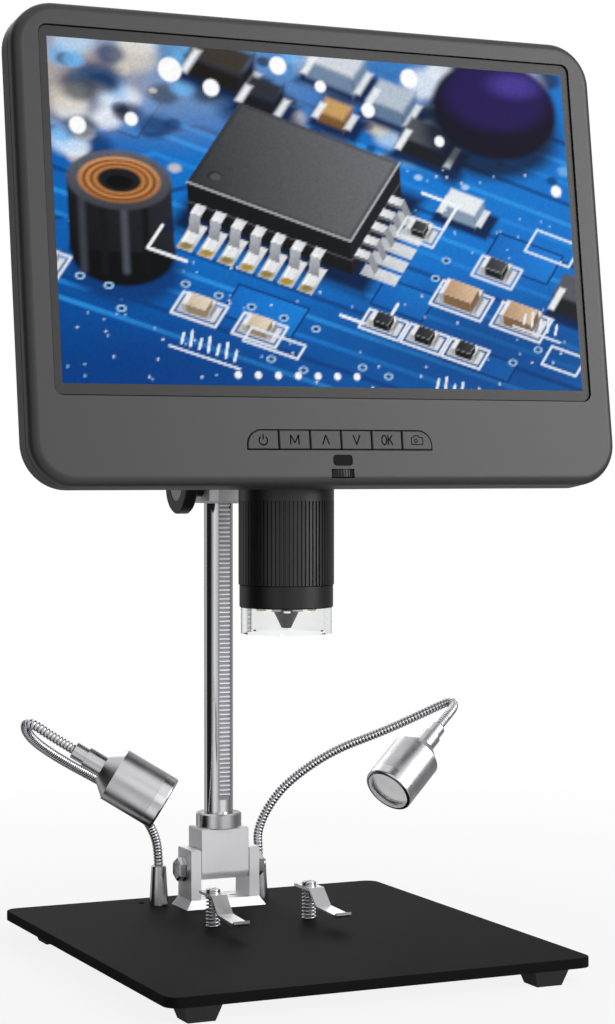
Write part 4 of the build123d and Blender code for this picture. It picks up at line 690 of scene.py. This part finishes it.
class Painting:
    # the points of a grid and their colours, with brushes whose edges are as soft as asked
    def __init__(self, look, spots):
        self.look = look
        self.across, self.height = spots[:, 0], spots[:, 1]
        self.paint = np.zeros((len(spots), 3))

    def lay(self, distance, soft, colour, far=None, slope=None, most=1.0):
        # colours what lies inside distance 0
        share = np.clip(0.5 - distance / max(soft, 0.5), 0, 1)
        share = (share * share * (3 - 2 * share))[:, None] * most
        tint = np.array(hexColour(colour)[:3])[None, :]
        if far:
            run = np.clip(slope, 0, 1)[:, None]
            tint = tint * (1 - run) + np.array(hexColour(far)[:3])[None, :] * run
        self.paint = self.paint * (1 - share) + tint * share

    def disc(self, x, y, wide, tall, colour, soft, far=None, most=1.0):
        reach = np.hypot((self.across - x) / wide, (self.height - y) / tall)
        self.lay((reach - 1) * min(wide, tall), soft, colour, far, (self.height - y + tall) / (2 * tall), most)

    def patch(self, corners, colour, soft, far=None):
        # flat shape with straight sides, shaded from its first corner to its third
        inside = np.full(len(self.across), -1e9)
        area = sum(a[0] * b[1] - b[0] * a[1] for a, b in zip(corners, corners[1:] + corners[:1]))
        way = 1 if area > 0 else -1
        for a, b in zip(corners, corners[1:] + corners[:1]):
            dx, dy = b[0] - a[0], b[1] - a[1]
            edge = ((self.height - a[1]) * dx - (self.across - a[0]) * dy) / max(hypot(dx, dy), 1e-6)
            inside = np.maximum(inside, -edge * way)
        dx, dy = corners[2][0] - corners[0][0], corners[2][1] - corners[0][1]
        slope = ((self.across - corners[0][0]) * dx + (self.height - corners[0][1]) * dy) / (dx * dx + dy * dy)
        self.lay(inside, soft, colour, far, slope)

    def stroke(self, points, wide, colour, soft, most=1.0):
        nearest = np.full(len(self.across), 1e9)
        for a, b in zip(points, points[1:]):
            dx, dy = b[0] - a[0], b[1] - a[1]
            run = np.clip(((self.across - a[0]) * dx + (self.height - a[1]) * dy) / (dx * dx + dy * dy), 0, 1)
            nearest = np.minimum(nearest, np.hypot(self.across - a[0] - run * dx, self.height - a[1] - run * dy))
        self.lay(nearest - wide / 2, soft, colour, most=most)

    def at(self, a, b, h=0.0):
        # a place on the board, or above it
        (ax, ay), (bx, by) = self.look["along"], self.look["back"]
        return (a * ax + b * bx, a * ay + b * by + h * self.look["up"])

    def quad(self, a0, a1, b0, b1, h, colour, soft, far=None):
        self.patch([self.at(a0, b0, h), self.at(a1, b0, h), self.at(a1, b1, h), self.at(a0, b1, h)],
                   colour, soft, far)

    def standing(self, a0, b0, a1, b1, low, high, colour, soft, far=None):
        # upright face over a line on the board
        self.patch([self.at(a0, b0, low), self.at(a1, b1, low), self.at(a1, b1, high), self.at(a0, b0, high)],
                   colour, soft, far)

    def frame(self, a, b, wide, deep, line, colour, soft):
        self.stroke([self.at(a, b), self.at(a + wide, b), self.at(a + wide, b + deep), self.at(a, b + deep),
                     self.at(a, b)], line, colour, soft)

    def block(self, a, b, wide, deep, tall, top, front, side, soft, far=None):
        self.standing(a, b, a + wide, b, 0, tall, front, soft)
        self.standing(a + wide, b, a + wide, b + deep, 0, tall, side, soft)
        self.quad(a, a + wide, b, b + deep, tall, top, soft, far)

    def chipPart(self, a, b, wide, deep, tall, body, soft):
        # a small part with tinned ends on its pads, inside a printed frame
        self.frame(a - 3, b - 2.4, wide + 6, deep + 4.8, 0.8, "#e6edf5", soft)
        self.quad(a - 1.8, a + wide + 1.8, b - 0.8, b + deep + 0.8, 0, "#b9bcbf", soft, "#dfe2e4")
        self.block(a, b, wide, deep, tall, "#e8e9eb", "#a2a5aa", "#8a8d92", soft)
        self.block(a + 1.6, b, wide - 3.2, deep, tall + 0.2, body[0], body[1], body[1], soft, far=body[2])

    def via(self, a, b):
        x, y = self.at(a, b)
        self.disc(x, y, 1.7, 1.15, "#9cc4ea", 0.5)
        self.disc(x, y, 0.95, 0.62, "#082a55", 0.5)


def paintBoard(art):
    # deep blue, with lighter and darker tracks under the mask
    art.patch([(-95, -57), (95, -57), (95, 57), (-95, 57)], "#04468f", 0.5, "#0a74cc")
    art.disc(-6, 4, 80, 24, "#0f7ed8", 40, most=0.7)
    for i in range(art.look["tracks"]):
        a, b = -150 + 11 * (i % 3), -86 + 9.5 * i
        tint = ("#2b95e6", "#053a7a", "#1d85da")[i % 3]
        bend = 52 + 9 * (i % 4)
        art.stroke([art.at(a, b), art.at(a + bend, b), art.at(a + bend + 12, b + 12), art.at(a + 300, b + 12)],
                   1.5, tint, 0.9, 0.75)
    for a, b, wide, deep in art.look["pours"]:
        art.quad(a, a + wide, b, b + deep, 0, "#0b62b8", 0.8, "#1580d8")
        art.frame(a, b, wide, deep, 0.7, "#043674", 0.6)
    art.disc(64, -44, 56, 20, "#032f6e", 30, most=0.6)
    art.disc(-60, -52, 50, 14, "#052f74", 22, most=0.6)


def paintDistance(art, rng):
    # far out of focus along the top: haze, dark parts, lit solder and a lacquered can
    art.disc(-60, 56, 60, 26, "#7f9fc4", 30, most=0.8)
    art.disc(-88, 42, 24, 14, "#b9a58c", 16, most=0.7)
    art.disc(20, 58, 60, 14, "#3f7fc0", 22, most=0.7)
    tints = ("#eef4fb", "#bcd9f5", "#0a2c60", "#1a1c22", "#6fb4ee", "#d8cfc0", "#062a5c", "#3a3f48")
    for i in range(art.look["blurs"]):
        x, y = rng.uniform(-92, 92), 12 + 43 * rng.uniform(0, 1) ** 0.8
        size = rng.uniform(0.9, 1.6 + 0.09 * (y + 10))
        art.disc(x, y, size * 1.5, size, tints[i % 8], size * 0.9, most=0.75)
    for a, b, wide, deep, tall, top, front, soft in art.look["farParts"]:
        art.quad(a - 3, a + wide + 6, b - 4, b + deep, 0, "#05234e", soft * 1.5)
        art.block(a, b, wide, deep, tall, top, front, front, soft)
        art.quad(a - 2.4, a, b, b + deep, 1, "#e9edf1", soft * 0.7)
        art.quad(a + wide, a + wide + 2.4, b, b + deep, 1, "#dfe4ea", soft * 0.7)
    art.disc(64, 33, 26, 16, "#06152f", 6, most=0.9)
    art.disc(66, 41, 24, 17, "#0d0a20", 2.4)
    art.disc(67, 46, 20, 12, "#221450", 6)
    art.disc(74, 50, 9, 4, "#4a3a9a", 5, most=0.8)
    for x, y, size in art.look["sparks"]:
        art.disc(x, y, size, size, "#fbfdff", 1.0)
    for i in range(art.look["dust"]):
        x, y = rng.uniform(-92, 92), rng.uniform(-54, 20)
        art.disc(x, y, 0.45, 0.4, "#a9d4fb" if i % 3 else "#ffffff", 0.5, most=0.6)


def paintCoil(art):
    # wound coil on the left, a little out of focus
    x, bottom, top, wide = art.look["coil"]
    art.disc(x + 1, bottom - 6, wide + 1.5, 10.5, "#083a78", 5)
    art.disc(x, bottom, wide, 11.0, "#0c0d10", 1.6)
    art.patch([(x - wide, bottom), (x + wide, bottom), (x + wide, top), (x - wide, top)], "#0e0f12", 1.2, "#26282e")
    for i, shade in enumerate(("#3b3e46", "#15161a", "#4a4e57", "#101114")):
        stripe = x - 13 + 7 * i
        art.stroke([(stripe, bottom - 6), (stripe, top - 1)], 2.2, shade, 2.2)
    art.disc(x, top, wide, 9.6, "#3b3d44", 1.2, "#5d6069")
    art.disc(x, top, 13.8, 7.4, "#9a5f33", 1.0, "#d79a63")
    for size, shade in ((12.4, "#6e3f1e"), (11.2, "#c98a52"), (10.0, "#74441f"), (8.8, "#b97b45")):
        art.disc(x, top, size, size * 0.53, shade, 0.8)
    art.disc(x, top, 7.4, 3.9, "#1b1c20", 0.9)
    art.disc(x, top - 0.6, 4.6, 2.2, "#0a0a0c", 0.8)


def paintChip(art):
    # the chip in the middle: pads, body, and legs in front and on its right
    left, right, near, far, tall = art.look["chip"]
    pitch, wide, high, low, knee, foot = art.look["legs"].values()
    art.quad(left - 4, right + 8, near - 8, far + 3, 0, "#031f48", 6)
    front = [left + 3 + i * pitch for i in range(7)]
    flank = [near + 2.5 + i * pitch for i in range(5)]
    for i, a in enumerate(front):
        art.quad(a - 0.9, a + 4.7, near - 15.5, near - 2, 0, "#b4b7ba", 0.6, "#e2e4e6")
        x, y = art.at(a + 1.9, near - 13.2)
        art.disc(x, y, 2.4, 1.2, "#a88a2a" if i % 2 else "#8d7a3a", 1.2)
    for b in flank:
        art.quad(right + 2, right + 15.5, b - 0.9, b + 4.7, 0, "#aeb1b5", 0.6, "#dcdfe1")
    art.block(left, near, right - left, far - near, tall, "#2b2c30", "#111215", "#1b1c20", 0.5, far="#5a5b60")
    art.quad(left + 1.6, right - 1.6, near + 1.6, far - 1.6, tall + 0.1, "#333438", 0.8, "#6c6d72")
    for height, line, shade in ((tall, 0.7, "#a9abb0"), (6, 0.5, "#4b4c51")):
        art.stroke([art.at(left, near, height), art.at(right, near, height), art.at(right, far, height)], line,
                   shade, 0.5)
    x, y = art.at(left + 7, near + 7, tall)
    art.disc(x, y, 2.6, 1.7, "#2a2b2e", 0.6)
    art.disc(x + 0.3, y - 0.3, 1.9, 1.2, "#505156", 0.6)
    for b in reversed(flank):
        art.quad(right, right + knee, b, b + wide, high, "#f0f1f3", 0.5, "#c6c9ce")
        art.patch([art.at(right + knee, b, high), art.at(right + knee, b + wide, high),
                   art.at(right + foot, b + wide, low), art.at(right + foot, b, low)], "#8f9298", 0.5)
        art.patch([art.at(right, b, high), art.at(right + knee, b, high), art.at(right + knee, b, high - 1.2),
                   art.at(right, b, high - 1.2)], "#6c6f75", 0.5)
        art.quad(right + foot, right + 13, b, b + wide, low, "#d2d5d9", 0.5)
    for a in front:
        art.quad(a, a + wide, near - knee, near, high, "#f4f5f6", 0.5, "#cfd2d6")
        art.patch([art.at(a, near - knee, high), art.at(a + wide, near - knee, high),
                   art.at(a + wide, near - foot, low), art.at(a, near - foot, low)], "#b4b7bd", 0.5, "#80838a")
        art.quad(a, a + wide, near - 12.6, near - foot, low, "#e3e5e8", 0.5)
        art.stroke([art.at(a + 0.5, near - 12.6, low), art.at(a + 0.5, near - foot, low)], 0.5, "#ffffff", 0.5)


def paintPrint(art):
    # white print, through holes and small parts
    left, right, near, far, _ = art.look["chip"]
    for corner in (((left - 6, near - 8), (left - 6, near - 20), (left + 8, near - 20)),
                   ((right + 4, near - 20), (right + 20, near - 20), (right + 20, near - 6)),
                   ((right + 20, far - 8), (right + 20, far + 5), (right + 6, far + 5))):
        art.stroke([art.at(a, b) for a, b in corner], 1.0, "#f2f6fa", 0.6)
    for part in art.look["parts"]:
        art.chipPart(*part)
    for a, b in art.look["vias"]:
        art.via(a, b)
    for a, b, count in art.look["bars"]:
        for i in range(count):
            x, y = art.at(a + 3.2 * i, b)
            art.stroke([(x, y), (x + 0.9, y + 3.0 + 1.6 * (i % 2))], 0.9, "#e6f0fa", 0.5)
        art.stroke([art.at(a - 3, b - 3), art.at(a + 3.2 * count, b - 3)], 0.7, "#dfeaf5", 0.5)
    for a, b, wide, deep in art.look["frames"]:
        art.frame(a, b, wide, deep, 0.8, "#dce8f4", 0.6)
    for i in range(7):
        art.disc(-34 + 7 * i, -51.5, 1.2, 1.2, "#f3f6f9", 0.7)


def makePicture(look):
    shape = bmesh.new()
    columns, rows = round(look["width"] / look["cell"]), round(look["height"] / look["cell"])
    bmesh.ops.create_grid(shape, x_segments=columns, y_segments=rows, size=0.5)
    bmesh.ops.scale(shape, vec=(look["width"] * mm, look["height"] * mm, 1), verts=shape.verts)
    shape.verts.ensure_lookup_table()
    spots = np.array([vertex.co[:2] for vertex in shape.verts]) / mm
    art = Painting(look, spots)
    rng = np.random.default_rng(look["seed"])
    paintBoard(art)
    paintDistance(art, rng)
    paintCoil(art)
    paintChip(art)
    paintPrint(art)
    grain = 1 + rng.normal(0, look["noise"], len(spots))
    paint = np.clip(art.paint * grain[:, None], 0, 1)

    layer = shape.loops.layers.float_color.new("picture")
    colours = np.concatenate([paint, np.ones((len(spots), 1))], axis=1).tolist()
    for face in shape.faces:
        for loop in face.loops:
            loop[layer] = colours[loop.vert.index]
    bmesh.ops.translate(shape, vec=(0, 0, look["depth"] * mm), verts=shape.verts)
    # the panel lights its own picture, and the glass in front hardly shines
    material, tree, shader, _ = startMaterial("litDisplay", {
        "Base Color": (0, 0, 0, 1), "Roughness": 0.3, "Specular IOR Level": 0.03,
        "Emission Strength": look["glow"]})
    colour = addNode(tree, "Attribute", attribute_name="picture")
    tree.links.new(colour.outputs["Color"], shader.inputs["Emission Color"])
    piece = finishPiece(shape, "screenPicture", material, "screen", onScreen, recalc=False)


makePicture(picture)
print("picture painted")

# Signs printed on the keys, as strokes in mm about each key's middle
keySigns = {
    "row": -72.4,
    "middle": 0.5,
    "pitch": 11.0,
    "face": 0.3,
    "line": 0.46,
    "fine": 0.34,
    "fineKeys": ["snap_key"],
    "proud": 0.03,
    # lines with more points than this are smooth rings
    "mostCorners": 12,
}


def ringPoints(x, y, wide, tall, start, stop, count):
    return [(x + wide * cos(radians(start + (stop - start) * i / count)),
             y + tall * sin(radians(start + (stop - start) * i / count))) for i in range(count + 1)]


signStrokes = {
    "power_key": [ringPoints(0, -0.3, 1.45, 1.45, 125, 415, 20), [(0, 0.0), (0, 1.75)]],
    "menu_key": [[(-1.5, -1.6), (-1.4, 1.6), (0, -1.1), (1.4, 1.6), (1.5, -1.6)]],
    "up_key": [[(-1.2, -1.6), (0, 1.6), (1.2, -1.6)]],
    "down_key": [[(-1.2, 1.6), (0, -1.6), (1.2, 1.6)]],
    "ok_key": [ringPoints(-1.05, 0, 0.85, 1.55, 0, 360, 20), [(0.4, -1.6), (0.4, 1.6)],
               [(1.9, 1.6), (0.5, -0.2)], [(0.9, 0.3), (2.0, -1.6)]],
    "snap_key": [[(-2.1, -1.4), (-2.1, 0.8), (-1.3, 0.95), (-1.0, 1.5), (0.4, 1.5), (0.8, 0.95), (2.1, 0.8),
                  (2.1, -1.4), (-2.1, -1.4)], ringPoints(-0.5, -0.2, 0.55, 0.55, 0, 360, 12)],
}


def printSigns(look, signs):
    # screen-printed ink: a thin dark layer with soft edges
    ink = moulded("signInk", {"dark": "#0c0c0d", "light": "#121213", "drift": 4, "grain": 0.3, "rough": 0.6,
                              "specular": 0.02, "relief": 0.05, "depth": 0.01})
    for index, (key, strokes) in enumerate(signs.items()):
        curve = bpy.data.curves.new("sign", "CURVE")
        curve.dimensions = "3D"
        curve.bevel_depth = (look["fine"] if key in look["fineKeys"] else look["line"]) / 2 * mm
        curve.bevel_resolution = 2
        # sharp corners would pinch the line, so straight strokes are drawn one by one
        runs = [run for points in strokes
                for run in ([points] if len(points) > look["mostCorners"] else zip(points, points[1:]))]
        for points in runs:
            spline = curve.splines.new("POLY")
            spline.points.add(len(points) - 1)
            for point, (x, y) in zip(spline.points, points):
                point.co = (x * mm, y * mm, 0, 1)
        mesh = meshOf(curve)
        shape = bmesh.new()
        shape.from_mesh(mesh)
        bpy.data.meshes.remove(mesh)
        bmesh.ops.scale(shape, vec=(1, 1, look["proud"] * 2 / look["line"]), verts=shape.verts)
        bmesh.ops.holes_fill(shape, edges=[edge for edge in shape.edges if edge.is_boundary], sides=0)
        x = look["middle"] + (index - (len(signs) - 1) / 2) * look["pitch"]
        place = onScreen @ Matrix.Translation(Vector((x, look["row"], look["face"])) * mm)
        piece = finishPiece(shape, key.split("_")[0] + "Sign", ink, key, place)


printSigns(keySigns, signStrokes)
print("signs printed")

# Lit diodes round the shade cone
ringLight = {
    "centre": (0, -2.2),
    "count": 8,
    "circle": 9.2,
    "radius": 1.15,
    "sides": 16,
    "top": 118.2,
    "tall": 0.5,
    "rim": 0.25,
    "rimSteps": 3,
    "glow": 0.7,
}


def makeRingLight(look):
    shape = bmesh.new()
    for i in range(look["count"]):
        angle = 2 * pi * (i + 0.5) / look["count"]
        made = bmesh.ops.create_circle(shape, cap_ends=True, segments=look["sides"],
                                       radius=look["radius"] * mm)["verts"]
        x = look["centre"][0] + look["circle"] * cos(angle)
        y = look["centre"][1] + look["circle"] * sin(angle)
        bmesh.ops.translate(shape, vec=Vector((x, y, look["top"])) * mm, verts=made)
    pulled = pullFaces(shape, -look["tall"])
    rims = [part for part in pulled if isinstance(part, bmesh.types.BMEdge)]
    bmesh.ops.bevel(shape, geom=rims, offset=look["rim"] * mm, segments=look["rimSteps"], profile=0.5,
                    affect="EDGES", material=-1)
    # phosphor under clear resin, lit
    phosphor = clear("diodePhosphor", {"colour": "#e6e0c4", "through": 0.0, "ior": 1.5, "rough": 0.4, "wave": 1,
                                       "glowColour": "#fbf6e2", "glow": look["glow"]})
    piece = finishPiece(shape, "ringLight", phosphor, "carriage")


makeRingLight(ringLight)
print("diodes lit")
